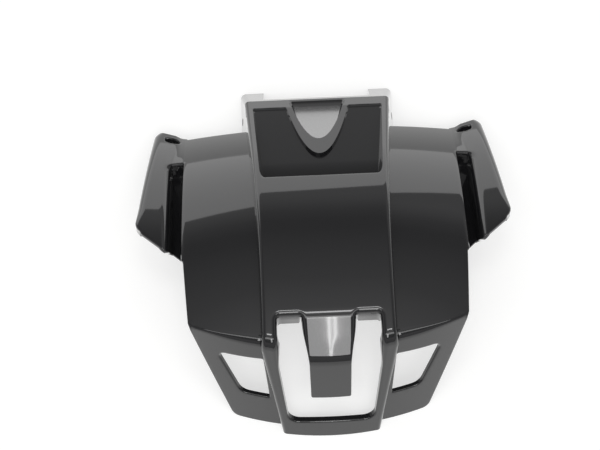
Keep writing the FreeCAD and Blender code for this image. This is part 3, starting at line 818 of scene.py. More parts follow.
    def edges(self) -> dict[str, Array]:
        """Work out the outline.

        Returns:
            Its stretches in order, anticlockwise in the flat.
        """
        skirt_foot = self.marks[Strip.END]
        wing_half = self.edge_half - self.edge_gap
        brow = (self.chin_foot_half + self.chin_slant * self.brow_height, self.brow_height)
        foot = [(BandSkin.front_half(0.0) - self.tuck, 0.0, 0.0),
                (self.chin_foot_half, 0.0, self.chin_corner_round), (*brow, 0.0)]
        chin = self.height_places(rounded(foot, closed=False), self.rim_step)
        ends = [(self.brow_half, self.brow_setback), (wing_half, self.front_setback)]
        side = self.setback_places(ends, self.rim_step)
        front = self.front_edge()
        ear_rear = self.rear_edge(skirt_foot, self.edge_half + 0.5 * self.edge_gap, self.rear_points)
        wing_end = BandSkin.wall_half(self.rear_height) - self.tuck
        wing_rear = self.rear_edge(wing_half, wing_end, self.wing_points)
        outer = pairs(skirt_foot, np.linspace(front[-1, 1], ear_rear[0, 1], self.ear_points)[1:-1])
        last = WING.at_setback(self.inner_setback)
        s_inner = np.linspace(wing_rear[-1, 1], last, self.inner_points)[1:]
        height = WING.place(np.full(len(s_inner), BAND_HALF), s_inner)[:, 2]
        inner = pairs(BandSkin.wall_half(height) - self.tuck, s_inner)
        z_inner = np.linspace(*self.inner_heights, self.wing_points)
        half = BandSkin.front_half(z_inner) - self.tuck
        return {
            "rim": np.concatenate([chin, side]), "front": front, "outer": outer, "ear_rear": ear_rear,
            "wing_rear": wing_rear, "inner": inner, "chin_inner": pairs(half, WING.at_height(half, z_inner)),
        }

    @staticmethod
    def ear_back(top: Array, skirt: Array) -> Array:
        """The wall that closes the ear's rear, down to a line from its root to the foot of its skirt.

        Args:
            top: Upper edge of the wall, from the root outwards.
            skirt: Foot of the skirt at the rear.

        Returns:
            Rows of points from the upper edge to the foot.
        """
        levels = 5
        root_drop = np.array((0.0, 0.0, 1.5))
        share = np.clip((top[:, 0] - top[0, 0]) / (skirt[0] - top[0, 0]), 0.0, 1.0)[:, None]
        foot = lerp(top[0] - root_drop, skirt, share)
        return np.stack([lerp(top, foot, k / levels) for k in range(levels + 1)])

    def window(self) -> Array:
        """Work out the outline of the chin's window, where its rounded edge starts.

        Returns:
            Flat places round the window.
        """
        grow = Lip.WINDOW.round
        (near, near_top), (far, far_top) = self.window_top
        (near_foot, foot), (far_foot, _) = self.window_foot
        near_round, foot_round, top_round = self.window_rounds
        points = rounded([
            (near - grow, near_top + grow, near_round),
            (near_foot - grow, foot - grow, near_round),
            (far_foot + grow, foot - grow, foot_round + grow),
            (far + self.window_slant * grow, far_top + grow, top_round + grow),
        ])
        return self.height_places(points + points[:1], self.window_step)[:-1]

    def oval(self) -> Array:
        """Work out the outline of the ear's oval hole, where its rounded edge starts.

        Returns:
            Flat places round the hole.
        """
        turn = math.radians(self.oval_turn)
        angle = np.linspace(0.0, 2.0 * math.pi, self.oval_points, endpoint=False)
        long, short = (radius + 0.5 * Lip.OVAL.round for radius in self.oval_radii)
        long = long * np.cos(angle)
        short = short * np.sin(angle)
        x = self.oval_middle[0] + long * math.cos(turn) - short * math.sin(turn)
        y = self.oval_middle[1] + long * math.sin(turn) + short * math.cos(turn)
        m = self.marks
        width = self.channel_walls[1] + self.ear_round_inner - self.edge_half
        u = m[Strip.EDGE] + (x - self.edge_half) * (m[Strip.TOP] - m[Strip.EDGE]) / width
        return pairs(u, WING.at_setback(y))

    def build(self, mesh: SkinMesh) -> None:
        """Add both sides to the skin.

        Args:
            mesh: The skin to add to.
        """
        edges = self.edges()
        outline = np.concatenate(list(edges.values()))
        m = self.marks
        stops = m[[Strip.EDGE, Strip.INNER_ROUND, Strip.TOP, Strip.OUTER_ROUND, Strip.END]]
        across = ladder([self.grid_inner, *stops], self.grid_across)
        brow = float(WING.at_setback(self.brow_middle))
        end = WING.at_setback(np.array(self.channel_end))
        stops = [self.grid_ends[0], brow - self.brow_reach[0], brow + self.brow_reach[1],
                 end[0] - self.end_reach, end[1] + self.end_reach, float(WING.at_setback(self.grid_ends[1]))]
        along = ladder(stops, self.grid_along)
        window = self.window()
        oval = self.oval()
        skin = Trimmed(self.place, outline, [window, oval], across, along)
        mesh.add_both(*skin.build())
        for name, lip in (("rim", Lip.CUT), ("wing_rear", Lip.CUT), ("front", Lip.EAR_FRONT)):
            mesh.grid(skin.lip(edges[name], lip, closed=False), both=True)
        rear = skin.lip(edges["ear_rear"], Lip.CUT, closed=False)
        mesh.grid(rear, both=True)
        on_top = edges["ear_rear"][::-1, 0] <= m[Strip.SKIRT]
        mesh.grid(self.ear_back(rear[-1][on_top], rear[-1][-1]), both=True)
        mesh.grid(skin.lip(window[::-1], Lip.WINDOW, closed=True), both=True)
        mesh.grid(skin.lip(oval[::-1], Lip.OVAL, closed=True), both=True)


# Centre band, nose, tongue, dish and legs

@dataclass
class BandSkin:
    """The raised band from the proud front over the nose to the rear land, with its walls and legs."""

    # Edges, walls and land
    edge_round: float = 4.5
    front_draft: float = -7.07
    front_fade: Span = (112.0, 134.0)
    foot_half: float = 44.0
    wall_reach: Span = (9.0, 15.0)
    reach_fade: Span = (-60.0, 0.0)
    land_length: float = 90.0
    land_lip: float = 7.0

    # Legs
    leg_slope: float = 35.5
    leg_front: float = 267.0
    leg_lead: float = 6.0
    leg_gap_half: float = 56.0
    leg_corner_round: float = 6.0
    leg_hole_radius: float = 4.0
    leg_hole: Place = (288.0, 13.0)

    # Slot
    slot_half: float = 48.5
    slot_foot_half: float = 42.0
    slot_top: float = 27.0
    slot_foot: float = 20.5
    slot_foot_round: float = 14.0
    slot_nose: float = -4.0
    slot_low: Place = (45.0, 95.0)
    slot_side_round: float = 30.0
    slot_top_round: float = 9.0
    slot_top_inset: float = 0.5
    slot_fine: float = 1.6
    slot_wall: float = 4.5
    slot_deep: Span = (8.0, 4.0)

    # Tongue and its shelf
    tongue_root_half: float = 26.0
    tongue_half: float = 20.5
    tongue_tip_half: float = 19.0
    tongue_tip: float = 63.0
    tongue_round: float = 17.0
    tongue_plate: float = 112.0
    tongue_side_round: float = 20.0
    tongue_tip_round: float = 1.2
    tongue_tip_inset: float = 0.6
    tongue_edge: float = 0.8
    tongue_walls: Span = (1.6, 8.0)
    tongue_fade: float = 45.0
    tongue_margin: float = 3.0
    shelf_start: float = 32.0
    shelf_bend: float = 20.0
    shelf_tilt: float = 29.7
    shelf_end: float = -6.9
    shelf_half: float = 47.0
    shelf_margin: float = 8.0
    bow_fade: Span = (10.0, -10.0)

    # Dish and the strip behind it
    dish_front: float = -44.0
    dish_ramp: float = 62.0
    dish_rear_depth: float = 1.0
    dish_slope: float = 13.2
    dish_half: float = 62.5
    dish_spread: float = 0.055
    dish_side: float = 80.0
    dish_corner: float = 26.0
    dish_round: float = 1.6
    strip_wall: float = 60.0
    strip_start: float = 75.5

    # Shield and scoop
    shield_slope: float = 10.5
    shield_tip: float = 8.0
    shield_spread: float = 3.9
    shield_wall: float = 1.1
    scoop_tip: float = 29.0
    scoop_spread: float = 3.85
    scoop_slope: float = 14.0
    scoop_roll: Span = (8.0, 9.0)
    scoop_wall: float = 2.4

    # Ends of the creases, and steps of the paths and the mesh
    foot_clear: Span = (15.0, 4.0)
    strip_clear: float = 1.4
    strip_edges: Span = (-0.8, 0.6)
    arch_half: float = 40.0
    rear_clear: float = 0.6
    path_step: float = 1.5
    leg_step: float = 3.0
    leg_grid: tuple[Span, Span] = ((240.0, 340.0), (1.5, 60.0))
    edge_nose: Span = (-44.0, -2.0)
    edge_steps: tuple[float, ...] = (3.0, 0.9, 3.0)
    grid_half: float = 70.4
    grid_across: float = 1.6
    grid_foot: float = 1.0
    grid_nose: Span = (-46.0, 12.0)
    grid_lead: float = 46.0
    grid_along: tuple[float, ...] = (2.8, 1.4, 4.4, 1.6)

    @staticmethod
    def wall_half(z: Array) -> Array:
        """Half width of the drafted side walls at a height."""
        return BAND_HALF + (BAND_HEIGHT - np.asarray(z, float)) * grade(BAND_DRAFT)

    @staticmethod
    def front_half(z: Array) -> Array:
        """Half width of the proud front at a height."""
        return FRONT_FOOT_HALF + np.asarray(z, float) * (BAND_HALF - FRONT_FOOT_HALF) / BAND_HEIGHT

    def edge_line(self, s: Array) -> dict[str, Array]:
        """Centre line of the round along the band's edge.

        Args:
            s: Places along the band's line.

        Returns:
            The round's centre, the skin's normal and the wall's normal at each place.
        """
        passes = 5
        step = 0.05
        first_half = 60.0
        half = np.full(len(s), first_half)
        normal = np.zeros((len(s), 3))
        centre = np.zeros((len(s), 3))
        wall = np.zeros((len(s), 3))
        for _ in range(passes):
            ahead = BAND.place(half, s + step) - BAND.place(half, s - step)
            normal = unit(np.stack([0.0 * s, -ahead[:, 2], ahead[:, 1]], 1))
            centre = BAND.place(half, s) - normal * self.edge_round
            z = centre[:, 2]
            on_front = np.where(s > 0.0, 0.0, 1.0 - ease(*self.front_fade, z))
            draft = np.radians(lerp(BAND_DRAFT, self.front_draft, on_front))
            wall = np.stack([np.cos(draft), 0.0 * z, np.sin(draft)], 1)
            side = self.wall_half(z)
            edge = np.where(on_front > 0.0, np.minimum(self.front_half(z), side), side)
            half = edge - self.edge_round / np.cos(draft)
        centre[:, 0] = half
        return {"centre": centre, "normal": normal, "wall": wall}

    def tongue_path(self, s: Array) -> tuple[Array, Array]:
        """Side view of the tongue, along the band's line from where its shelf starts to bend.

        Args:
            s: Places along the line, falling towards the tip.

        Returns:
            Setbacks and heights.
        """
        begin = float(BAND.at_setback(self.shelf_start))
        first = begin / BAND.radius
        tilts = [-math.radians(self.shelf_tilt), -math.radians(BAND.chin_slope)]
        bend = self.shelf_bend * (first - tilts[0])
        start = BAND.place(np.zeros(1), np.array([begin]))[0]
        gone = np.maximum(begin - np.asarray(s, float), 0.0)
        part = np.minimum(gone, bend)
        tilt = first - part / self.shelf_bend
        y = start[1] + self.shelf_bend * (np.sin(tilt) - math.sin(first))
        z = start[2] + self.shelf_bend * (np.cos(tilt) - math.cos(first))
        end_y = start[1] + self.shelf_bend * (math.sin(tilts[0]) - math.sin(first))
        shelf = (end_y - self.shelf_end) / math.cos(tilts[0])
        part = np.clip(gone - bend, 0.0, shelf)
        y = y - part * math.cos(tilts[0])
        z = z + part * math.sin(tilts[0])
        turn = self.tongue_round * (tilts[0] - tilts[1])
        part = np.clip(gone - bend - shelf, 0.0, turn)
        tilt = tilts[0] - part / self.tongue_round
        y = y + self.tongue_round * (np.sin(tilt) - math.sin(tilts[0]))
        z = z + self.tongue_round * (np.cos(tilt) - math.cos(tilts[0]))
        part = np.maximum(gone - bend - shelf - turn, 0.0)
        return y - part * math.cos(tilts[1]), z + part * math.sin(tilts[1])

    def hollow(self, x: Array, s: Array) -> Array:
        """Depth of the dish, and of the shield in it, below the land.

        Args:
            x: Places across.
            s: Places along the band's line.

        Returns:
            The depth at each place.
        """
        t = s - BAND.land_start
        ramp = (t - self.dish_front) * grade(self.dish_ramp)
        side = (self.dish_half + self.dish_spread * t - np.abs(x)) * grade(self.dish_side)
        corner = np.hypot(np.maximum(self.dish_corner - ramp, 0.0), np.maximum(self.dish_corner - side, 0.0))
        wall = np.where(corner > 0.0, self.dish_corner - corner, np.minimum(ramp, side))
        wall = np.minimum(wall, (self.strip_start - t) * grade(self.strip_wall))
        wall = -soft_least(-wall, 0.0 * wall, self.dish_round)
        dish = np.maximum(soft_least(self.floor_depth(t), wall, self.dish_round), 0.0)
        shield = np.maximum(self.strip_start - t, 0.0) * grade(self.shield_slope)
        shield = np.minimum(shield, dish)
        clear = ease(0.0, self.shield_wall, -self.arch_depth(x, t, self.shield_tip, self.shield_spread))
        return lerp(shield, dish, clear)

    def floor_depth(self, t: Array) -> Array:
        """Depth of the dish's floor at places along the land."""
        return self.dish_rear_depth + (self.strip_start - t) * grade(self.dish_slope)

    def foot_line(self, off: float) -> Array:
        """A crease along the foot of the dish's right wall.

        Args:
            off: How far below the floor the wall is followed.

        Returns:
            Flat places along the crease.
        """
        count = 75
        front, rear = self.foot_clear
        t = np.linspace(self.dish_front + front, self.strip_start - rear, count)
        inset = (self.floor_depth(t) + off) / grade(self.dish_side)
        return pairs(self.dish_half + self.dish_spread * t - inset, t + BAND.land_start)

    def dish_line(self, depth: float) -> Array:
        """A crease along the dish's wall, at a depth below the land.

        Args:
            depth: The depth of the crease.

        Returns:
            Flat places along the crease, from the left rear round the front to the right rear.
        """
        count = 13
        turn = np.radians(np.linspace(0.0, 90.0, count))
        reach = self.dish_corner - depth
        t = self.dish_front + (self.dish_corner - reach * np.cos(turn)) / grade(self.dish_ramp)
        inset = (self.dish_corner - reach * np.sin(turn)) / grade(self.dish_side)
        half = self.dish_half + self.dish_spread * t - inset
        last = self.strip_start - self.strip_clear
        right = [*zip(half, t), (self.dish_half + self.dish_spread * last - inset[-1], last)]
        left = [(-x, along) for x, along in reversed(right)]
        path = spaced(left + right, self.path_step)
        return pairs(path[:, 0], path[:, 1] + BAND.land_start)

    @staticmethod
    def arch_depth(x: Array, t: Array, tip: float, spread: float) -> Array:
        """How far a place on the land is inside an arch that opens to the rear.

        Args:
            x: Places across.
            t: Places along the land.
            tip: Where the arch starts.
            spread: How fast it widens.

        Returns:
            The distance in from the arch's edge, negative outside it.
        """
        return (t - tip - (x / spread) ** 2) / np.hypot(1.0, 2.0 * x / spread**2)

    def arch_line(self, tip: float, spread: float, depth: float) -> Array:
        """A crease along an arch, at a distance in from its edge.

        Args:
            tip: Where the arch starts.
            spread: How fast it widens.
            depth: The distance in.

        Returns:
            Flat places along the crease.
        """
        count = 161
        x = np.linspace(-self.arch_half, self.arch_half, count)
        t = tip + (x / spread) ** 2 + depth * np.hypot(1.0, 2.0 * x / spread**2)
        keep = t < self.land_length - self.rear_clear
        return pairs(x[keep], t[keep] + BAND.land_start)

    def place(self, x: Array, s: Array) -> Array:
        """Points of the band's top and tongue.

        Args:
            x: Places across.
            s: Places along the band's line.

        Returns:
            One row of x, y, z per place.
        """
        x = np.asarray(x, float)
        s = np.asarray(s, float)
        points = BAND.place(x, s)
        tongue_y, tongue_z = self.tongue_path(s)
        top = float(BAND.at_setback(self.slot_top))
        share = 1.0 - ease(self.tongue_root_half, self.shelf_half, np.abs(x))
        beside = np.abs(x) > self.tongue_root_half + self.shelf_margin
        share = np.where((s < top) & beside, 0.0, share)
        share = np.where(s > float(BAND.at_setback(self.shelf_start)), 0.0, share)
        tip = self.tongue_at_height(self.tongue_tip - self.tongue_margin)
        share = np.where(s < tip, 0.0, share)
        bow = sagitta(BAND.chin_radius, x) * ease(*self.bow_fade, tongue_y)
        points[:, 1] = lerp(points[:, 1], tongue_y + bow, share)
        points[:, 2] = lerp(points[:, 2], tongue_z, share)
        tilt = np.clip(s, 0.0, BAND.land_start) / BAND.radius
        depth = self.hollow(x, s)
        points[:, 1] -= depth * np.sin(tilt)
        points[:, 2] -= depth * np.cos(tilt)
        rear = BAND.place(np.zeros(1), np.array([BAND.land_start + self.land_length]))[0]
        ahead = rear[1] - points[:, 1]
        roll, radius = self.scoop_roll
        floor = rear[2] + roll**2 / (2.0 * radius) - ahead * grade(self.scoop_slope)
        floor = floor - np.maximum(roll - ahead, 0.0) ** 2 / (2.0 * radius)
        within = self.arch_depth(x, s - BAND.land_start, self.scoop_tip, self.scoop_spread)
        points[:, 2] = lerp(points[:, 2], np.minimum(floor, points[:, 2]), ease(0.0, self.scoop_wall, within))
        return points

    def tongue_at_height(self, z: float) -> float:
        """Find a height on the tongue's plate.

        Args:
            z: The height.

        Returns:
            Its place along the band's line.
        """
        far_end = -400.0
        count = 4000
        line = np.linspace(float(BAND.at_setback(self.shelf_end)), far_end, count)
        height = self.tongue_path(line)[1]
        return float(np.interp(-z, -height, line))

    def slot(self) -> tuple[Array, Array, Array]:
        """Work out the outline of the slot round the tongue, where its rounded edge starts.

        Returns:
            Flat places round the slot, and the edge's round and the wall's depth at each.
        """
        wide = Lip.SLOT.round
        fine = self.slot_fine
        top = float(BAND.at_setback(self.slot_top + wide))
        nose = float(BAND.at_setback(self.slot_nose))
        low = float(BAND.at_height(*self.slot_low))
        foot = float(BAND.at_height(self.slot_foot_half, self.slot_foot - fine))
        tip = self.tongue_at_height(self.tongue_tip)
        plate = self.tongue_at_height(self.tongue_plate)
        corners = [
            (self.slot_foot_half + fine, foot, self.slot_foot_round),
            (self.slot_half + fine, low, self.slot_side_round),
            (self.slot_half + wide, nose, self.slot_side_round),
            (self.slot_half + wide - self.slot_top_inset, top, self.slot_top_round),
            (self.tongue_root_half - wide, top, self.slot_top_round),
            (self.tongue_half - fine, plate, self.tongue_side_round),
            (self.tongue_tip_half - self.tongue_tip_inset, tip, self.tongue_tip_round),
        ]
        points = rounded(corners + [(-x, s, radius) for x, s, radius in reversed(corners)])
        path = spaced(points + points[:1], self.path_step)[:-1]
        across = np.abs(path[:, 0])
        along = path[:, 1]
        root = ease(plate, plate + self.tongue_fade, along)
        on_tongue = (across < self.tongue_root_half + self.tongue_margin) & (along > tip - self.tongue_margin)
        on_slot = lerp(fine, wide, ease(low, nose, along))
        rounds = np.where(on_tongue, lerp(self.tongue_edge, wide, root), on_slot)
        turned = float(BAND.brow(np.array(self.slot_half))["start"])
        deep = ease(turned + self.slot_deep[0], top - self.slot_deep[1], along)
        walls = np.where(on_tongue, lerp(*self.tongue_walls, root), self.slot_wall)
        return path, rounds, lerp(walls, Lip.SLOT.wall, deep)

    def build(self, mesh: SkinMesh) -> None:
        """Add the band to the skin.

        Args:
            mesh: The skin to add to.
        """
        foot = float(BAND.at_height(self.foot_half, 0.0))
        end = BAND.land_start + self.land_length
        rows = np.append(ladder([foot, *self.edge_nose, end], self.edge_steps), end)
        edge = self.edge_line(rows)
        turn = np.arccos(np.clip((edge["normal"] * edge["wall"]).sum(1), -1.0, 1.0))[:, None]
        steps = 7
        strip = []
        for k in range(steps + 1):
            share = k / steps
            bend = np.sin((1.0 - share) * turn) * edge["normal"] + np.sin(share * turn) * edge["wall"]
            strip.append(edge["centre"] + bend / np.sin(turn) * self.edge_round)
        strip = np.stack(strip, 1)
        self.build_top(mesh, rows, edge["centre"][:, 0])
        mesh.grid(strip, both=True)
        self.build_walls(mesh, rows, strip[:, -1], edge)
        self.build_back(mesh, strip[-1])

    def creases(self) -> list[Array]:
        """Work out the creases of the shield, scoop, dish and strip.

        Returns:
            Flat places along each crease.
        """
        count = 90
        lines = [self.arch_line(self.shield_tip, self.shield_spread, -share * self.shield_wall)
                 for share in (0.0, 0.5, 1.0)]
        lines += [self.arch_line(self.scoop_tip, self.scoop_spread, depth)
                  for depth in (0.0, self.scoop_wall)]
        lines += [self.dish_line(depth) for depth in (-self.dish_round, 0.0, self.dish_round)]
        for off in (-self.dish_round, self.dish_round):
            foot = self.foot_line(off)
            lines += [foot, foot * FLAT_MIRROR]
        half = self.dish_half + self.dish_spread * self.strip_start
        across = np.linspace(-half, half, count)
        lines += [pairs(across, BAND.land_start + (self.strip_start + off)) for off in self.strip_edges]
        return lines

    def build_top(self, mesh: SkinMesh, rows: Array, half: Array) -> None:
        """Add the band's top, with its slot, tongue, dish and scoop.

        Args:
            mesh: The skin to add to.
            rows: Places along the band's line.
            half: Half width of the top at each of them.
        """
        foot_count = 36
        rear_count = 120
        end = rows[-1]
        right = pairs(half, rows)
        foot_x = np.linspace(-half[0], half[0], foot_count)[1:-1]
        foot = pairs(foot_x, BAND.at_height(foot_x, 0.0))
        right[0, 1] = float(BAND.at_height(half[0], 0.0))
        rear = pairs(np.linspace(half[-1], -half[-1], rear_count)[1:-1], end)
        left = right[::-1] * FLAT_MIRROR
        outline = np.concatenate([foot, right, rear, left])
        slot, rounds, walls = self.slot()
        across = np.arange(-self.grid_half, self.grid_half + 0.5 * self.grid_across, self.grid_across)
        stops = [rows[0] + self.grid_foot, *self.grid_nose, BAND.land_start - self.grid_lead, end]
        along = ladder(stops, self.grid_along)
        skin = Trimmed(self.place, outline, [slot], across, along, self.creases())
        mesh.add(*skin.build())
        mesh.grid(skin.lip(slot[::-1], Lip.SLOT, closed=True, rounds=rounds[::-1], walls=walls[::-1]))
        mesh.grid(skin.lip(np.concatenate([left[-1:], foot, right[:1]]), Lip.CUT, closed=False))

    def build_walls(self, mesh: SkinMesh, rows: Array, top: Array, edge: dict[str, Array]) -> None:
        """Add the walls below the band's edges, down into the wings and, at the rear, to the legs' feet.

        Args:
            mesh: The skin to add to.
            rows: Places along the band's line.
            top: The upper edge of the wall.
            edge: The skin's and the wall's normals along it.
        """
        reach = lerp(*self.wall_reach, ease(*self.reach_fade, rows))
        lean = (edge["normal"] * edge["wall"]).sum(1)[:, None]
        into = unit(lean * edge["wall"] - edge["normal"])
        bottom = top + into * reach[:, None]
        on_leg = top[:, 1] > self.leg_front - self.leg_lead
        first = int(np.argmax(on_leg))
        levels = 6
        grid = np.stack([lerp(top, bottom, k / levels) for k in range(levels + 1)], 1)
        mesh.grid(grid[:first + 1], both=True)
        self.build_leg_side(mesh, top[first:], bottom[first])

    def build_leg_side(self, mesh: SkinMesh, top: Array, front: Array) -> None:
        """Add the outer side of the legs, each with its fixing hole.

        Args:
            mesh: The skin to add to.
            top: The upper edge of the side.
            front: The lower end of the wall in front of it.
        """
        back = [self.back_point(z)[0] - self.leg_corner_round for z in (float(top[-1, 2]), 0.0)]
        heel = [(back[0], float(top[-1, 2])), (back[1], 0.0), (self.leg_front, 0.0),
                tuple(front[1:]), tuple(top[0, 1:])]
        outline = np.concatenate([spaced(heel, self.leg_step)[:-1], top[:, 1:]])[::-1]
        count = 28
        turn = np.linspace(0.0, 2.0 * math.pi, count, endpoint=False)
        radius = self.leg_hole_radius + Lip.LEG_HOLE.round
        hole = np.array(self.leg_hole) + radius * pairs(np.cos(turn), np.sin(turn))
        across, along = (np.arange(*ends, self.leg_step) for ends in self.leg_grid)
        side = Trimmed(lambda y, z: np.stack([self.wall_half(z), y, z], 1), outline, [hole], across, along)
        mesh.add_both(*side.build())
        mesh.grid(side.lip(hole[::-1], Lip.LEG_HOLE, closed=True), both=True)

    def back_point(self, z: float) -> Place:
        """Setback and height of the sloping back at a height."""
        end = BAND.place(np.zeros(1), np.array([BAND.land_start + self.land_length]))[0]
        return float(end[1] + (end[2] - z) * grade(self.leg_slope)), z

    def build_back(self, mesh: SkinMesh, corner: Array) -> None:
        """Add the sloping back: a lip below the land and a leg each side of it.

        Args:
            mesh: The skin to add to.
            corner: The round's section at the band's rear corner, from its top to its wall.
        """
        end_z = float(corner[0, 2])
        lip_z = end_z - self.land_lip
        levels = 5
        lip_count = 24
        across = np.linspace(-self.leg_gap_half, self.leg_gap_half, lip_count)
        lip = []
        for level in np.linspace(0.0, 1.0, levels):
            y, z = self.back_point(lerp(end_z, lip_z, level))
            lip.append(np.stack(np.broadcast_arrays(across, y, z), 1))
        mesh.grid(np.stack(lip))
        arc_count = 7
        flat_count = 6
        leg_levels = 12
        arc = np.linspace(0.0, 0.5 * math.pi, arc_count)
        leg = []
        for z in np.linspace(end_z, 0.0, leg_levels):
            y, _ = self.back_point(float(z))
            outer = float(self.wall_half(z))
            round_x = outer - self.leg_corner_round * (1.0 - np.cos(arc))
            round_y = y - self.leg_corner_round * (1.0 - np.sin(arc))
            flat_x = np.linspace(outer - self.leg_corner_round, self.leg_gap_half, flat_count)[1:]
            x = np.concatenate([round_x, flat_x])
            row_y = np.concatenate([round_y, np.full(len(flat_x), y)])
            leg.append(np.stack(np.broadcast_arrays(x, row_y, z), 1))
        mesh.grid(np.stack(leg)[:, ::-1], both=True)


# Screw posts under the band

@dataclass
class ScrewPosts:
    """Four posts under the band, each with a blind bore for a screw."""

    radius: float = 5.0
    draft: float = 0.5
    bore: float = 1.7
    bore_depth: float = 10.0
    seat: float = 104.0
    spread: float = 90.0
    pitch: float = 70.0
    setback: float = 95.0
    sides: int = 32
    bore_tip: float = 0.01
    bore_chamfer: float = 0.4
    edge_chamfer: float = 0.6
    sunk: float = 1.3

    def build(self, mesh: SkinMesh) -> None:
        """Add the posts, from the end of the bore over the seat and up into the skin.

        Args:
            mesh: The mesh to add to.
        """
        turn = np.linspace(0.0, 2.0 * math.pi, self.sides + 1)
        ring = pairs(np.cos(turn), np.sin(turn))
        end = self.seat + self.bore_depth
        steps = [
            (self.bore_tip, end), (self.bore, end), (self.bore, self.seat + self.bore_chamfer),
            (self.bore + self.bore_chamfer, self.seat), (self.radius - self.edge_chamfer, self.seat),
            (self.radius, self.seat + self.edge_chamfer),
        ]
        for y in (self.setback - self.pitch / 2.0, self.setback + self.pitch / 2.0):
            middle = np.array((self.spread / 2.0, y))
            rows = [np.column_stack([middle + ring * radius, np.full(len(ring), z)]) for radius, z in steps]
            foot = middle + ring * (self.radius + self.draft)
            height = BAND.place(foot[:, 0], BAND.at_setback(foot[:, 1]))[:, 2] - self.sunk
            rows.append(np.column_stack([foot, height]))
            mesh.grid(np.stack(rows), both=True)


# Shader nodes

class Socket:
    """A node socket, or a number, that shader maths is written with."""

    def __init__(self, tree: "NodeTree", source: object) -> None:
        """Keep the tree and the socket or number."""
        self.tree = tree
        self.source = source

    def _math(self, operation: str, other: object, swap: bool = False) -> "Socket":
        """Add a Math node.

        Args:
            operation: The node's operation.
            other: The second value.
            swap: Whether the second value comes first.

        Returns:
            The node's result.
        """
        pair = [self, other]
        if swap:
            pair.reverse()
        return self.tree.node("ShaderNodeMath", {"operation": operation}, {0: pair[0], 1: pair[1]})

    def __add__(self, other: object) -> "Socket":
        """Sum."""
        return self._math("ADD", other)

    def __radd__(self, other: object) -> "Socket":
        """Sum with a number on the left."""
        return self._math("ADD", other, swap=True)

    def __sub__(self, other: object) -> "Socket":
        """Difference."""
        return self._math("SUBTRACT", other)

    def __mul__(self, other: object) -> "Socket":
        """Product."""
        return self._math("MULTIPLY", other)

    def __rmul__(self, other: object) -> "Socket":
        """Product with a number on the left."""
        return self._math("MULTIPLY", other, swap=True)


class NodeTree:
    """Adds nodes to a material or world and links them."""

    def __init__(self, tree: bpy.types.NodeTree) -> None:
        """Start with an empty tree."""
        self.tree = tree
        tree.nodes.clear()

    def node(self, kind: str, settings: dict[str, object], inputs: dict[object, object],
             output: object = 0) -> Socket:
        """Add a node.

        Args:
            kind: The node's type.
            settings: Properties, set first. A ramp's stops are given as (place, colour) pairs.
            inputs: Values or sockets by input name or number.
            output: Name or number of the output wanted.

        Returns:
            That output.
        """
        made = self.tree.nodes.new(kind)
        for name, value in settings.items():
            if name == "stops":
                ramp = made.color_ramp.elements
                while len(ramp) < len(value):
                    ramp.new(0.5)
                for stop, (place, colour) in zip(ramp, value):
                    stop.position = place
                    stop.color = colour
            else:
                setattr(made, name, value)
        for name, value in inputs.items():
            self.feed(made.inputs[name], value)
        return Socket(self, made.outputs[output] if len(made.outputs) else made)

    def feed(self, socket: bpy.types.NodeSocket, value: object) -> None:
        """Link a socket or set its value.

        Args:
            socket: The input to feed.
            value: A socket to link, or a value to set.
        """
        if isinstance(value, Socket):
            self.tree.links.new(value.source, socket)
        else:
            socket.default_value = value


@dataclass(frozen=True)
class GlossBlack:
    """Gloss black plastic, moulded in colour: faint flow marks, a little dust and handling haze."""

    name: str = "gloss_black_plastic"
    colour: tuple[float, float, float] = (0.011, 0.011, 0.012)
    dust: tuple[float, float, float] = (0.030, 0.029, 0.028)
    roughness: float = 0.055
    haze: float = 0.05
    clear: float = 0.35
    dust_share: float = 0.5
    relief: Span = (0.6, 0.4)

    def make(self) -> bpy.types.Material:
        """Make the material.

        Returns:
            The finished material.
        """
        material = bpy.data.materials.new(self.name)
        material.use_nodes = True
        tree = NodeTree(material.node_tree)
        where = tree.node("ShaderNodeTexCoord", {}, {}, "Object")
        cloud = tree.node("ShaderNodeTexNoise", {}, {"Vector": where, "Scale": 14.0, "Detail": 4.0}, "Fac")
        specks = tree.node("ShaderNodeTexNoise", {}, {"Vector": where, "Scale": 900.0, "Detail": 2.0}, "Fac")
        stretch = tree.node("ShaderNodeMapping", {}, {"Vector": where, "Scale": (60.0, 5.0, 20.0)})
        flow = tree.node("ShaderNodeTexNoise", {}, {"Vector": stretch, "Scale": 1.0, "Detail": 3.0}, "Fac")
        stops = {"stops": [(0.62, (0.0, 0.0, 0.0, 1.0)), (0.78, (1.0, 1.0, 1.0, 1.0))]}
        dusty = tree.node("ShaderNodeValToRGB", stops, {"Fac": specks})
        share = tree.node("ShaderNodeRGBToBW", {}, {"Color": dusty}) * cloud * self.dust_share
        tones = {"Factor": share, 6: (*self.colour, 1.0), 7: (*self.dust, 1.0)}
        colour = tree.node("ShaderNodeMix", {"data_type": "RGBA"}, tones, 2)
        rough = self.roughness + self.haze * (cloud - self.clear) * flow
        height = flow * self.relief[0] + cloud * self.relief[1]
        bump = tree.node("ShaderNodeBump", {}, {"Strength": 0.04, "Distance": 0.0004, "Height": height})
        shader = tree.node("ShaderNodeBsdfPrincipled", {}, {
            "Base Color": colour, "Roughness": rough, "Normal": bump, "IOR": 1.5, "Specular IOR Level": 0.25,
            "Coat Weight": 1.0, "Coat Roughness": 0.03, "Coat IOR": 1.4,
        })
        tree.node("ShaderNodeOutputMaterial", {}, {"Surface": shader})
        return material


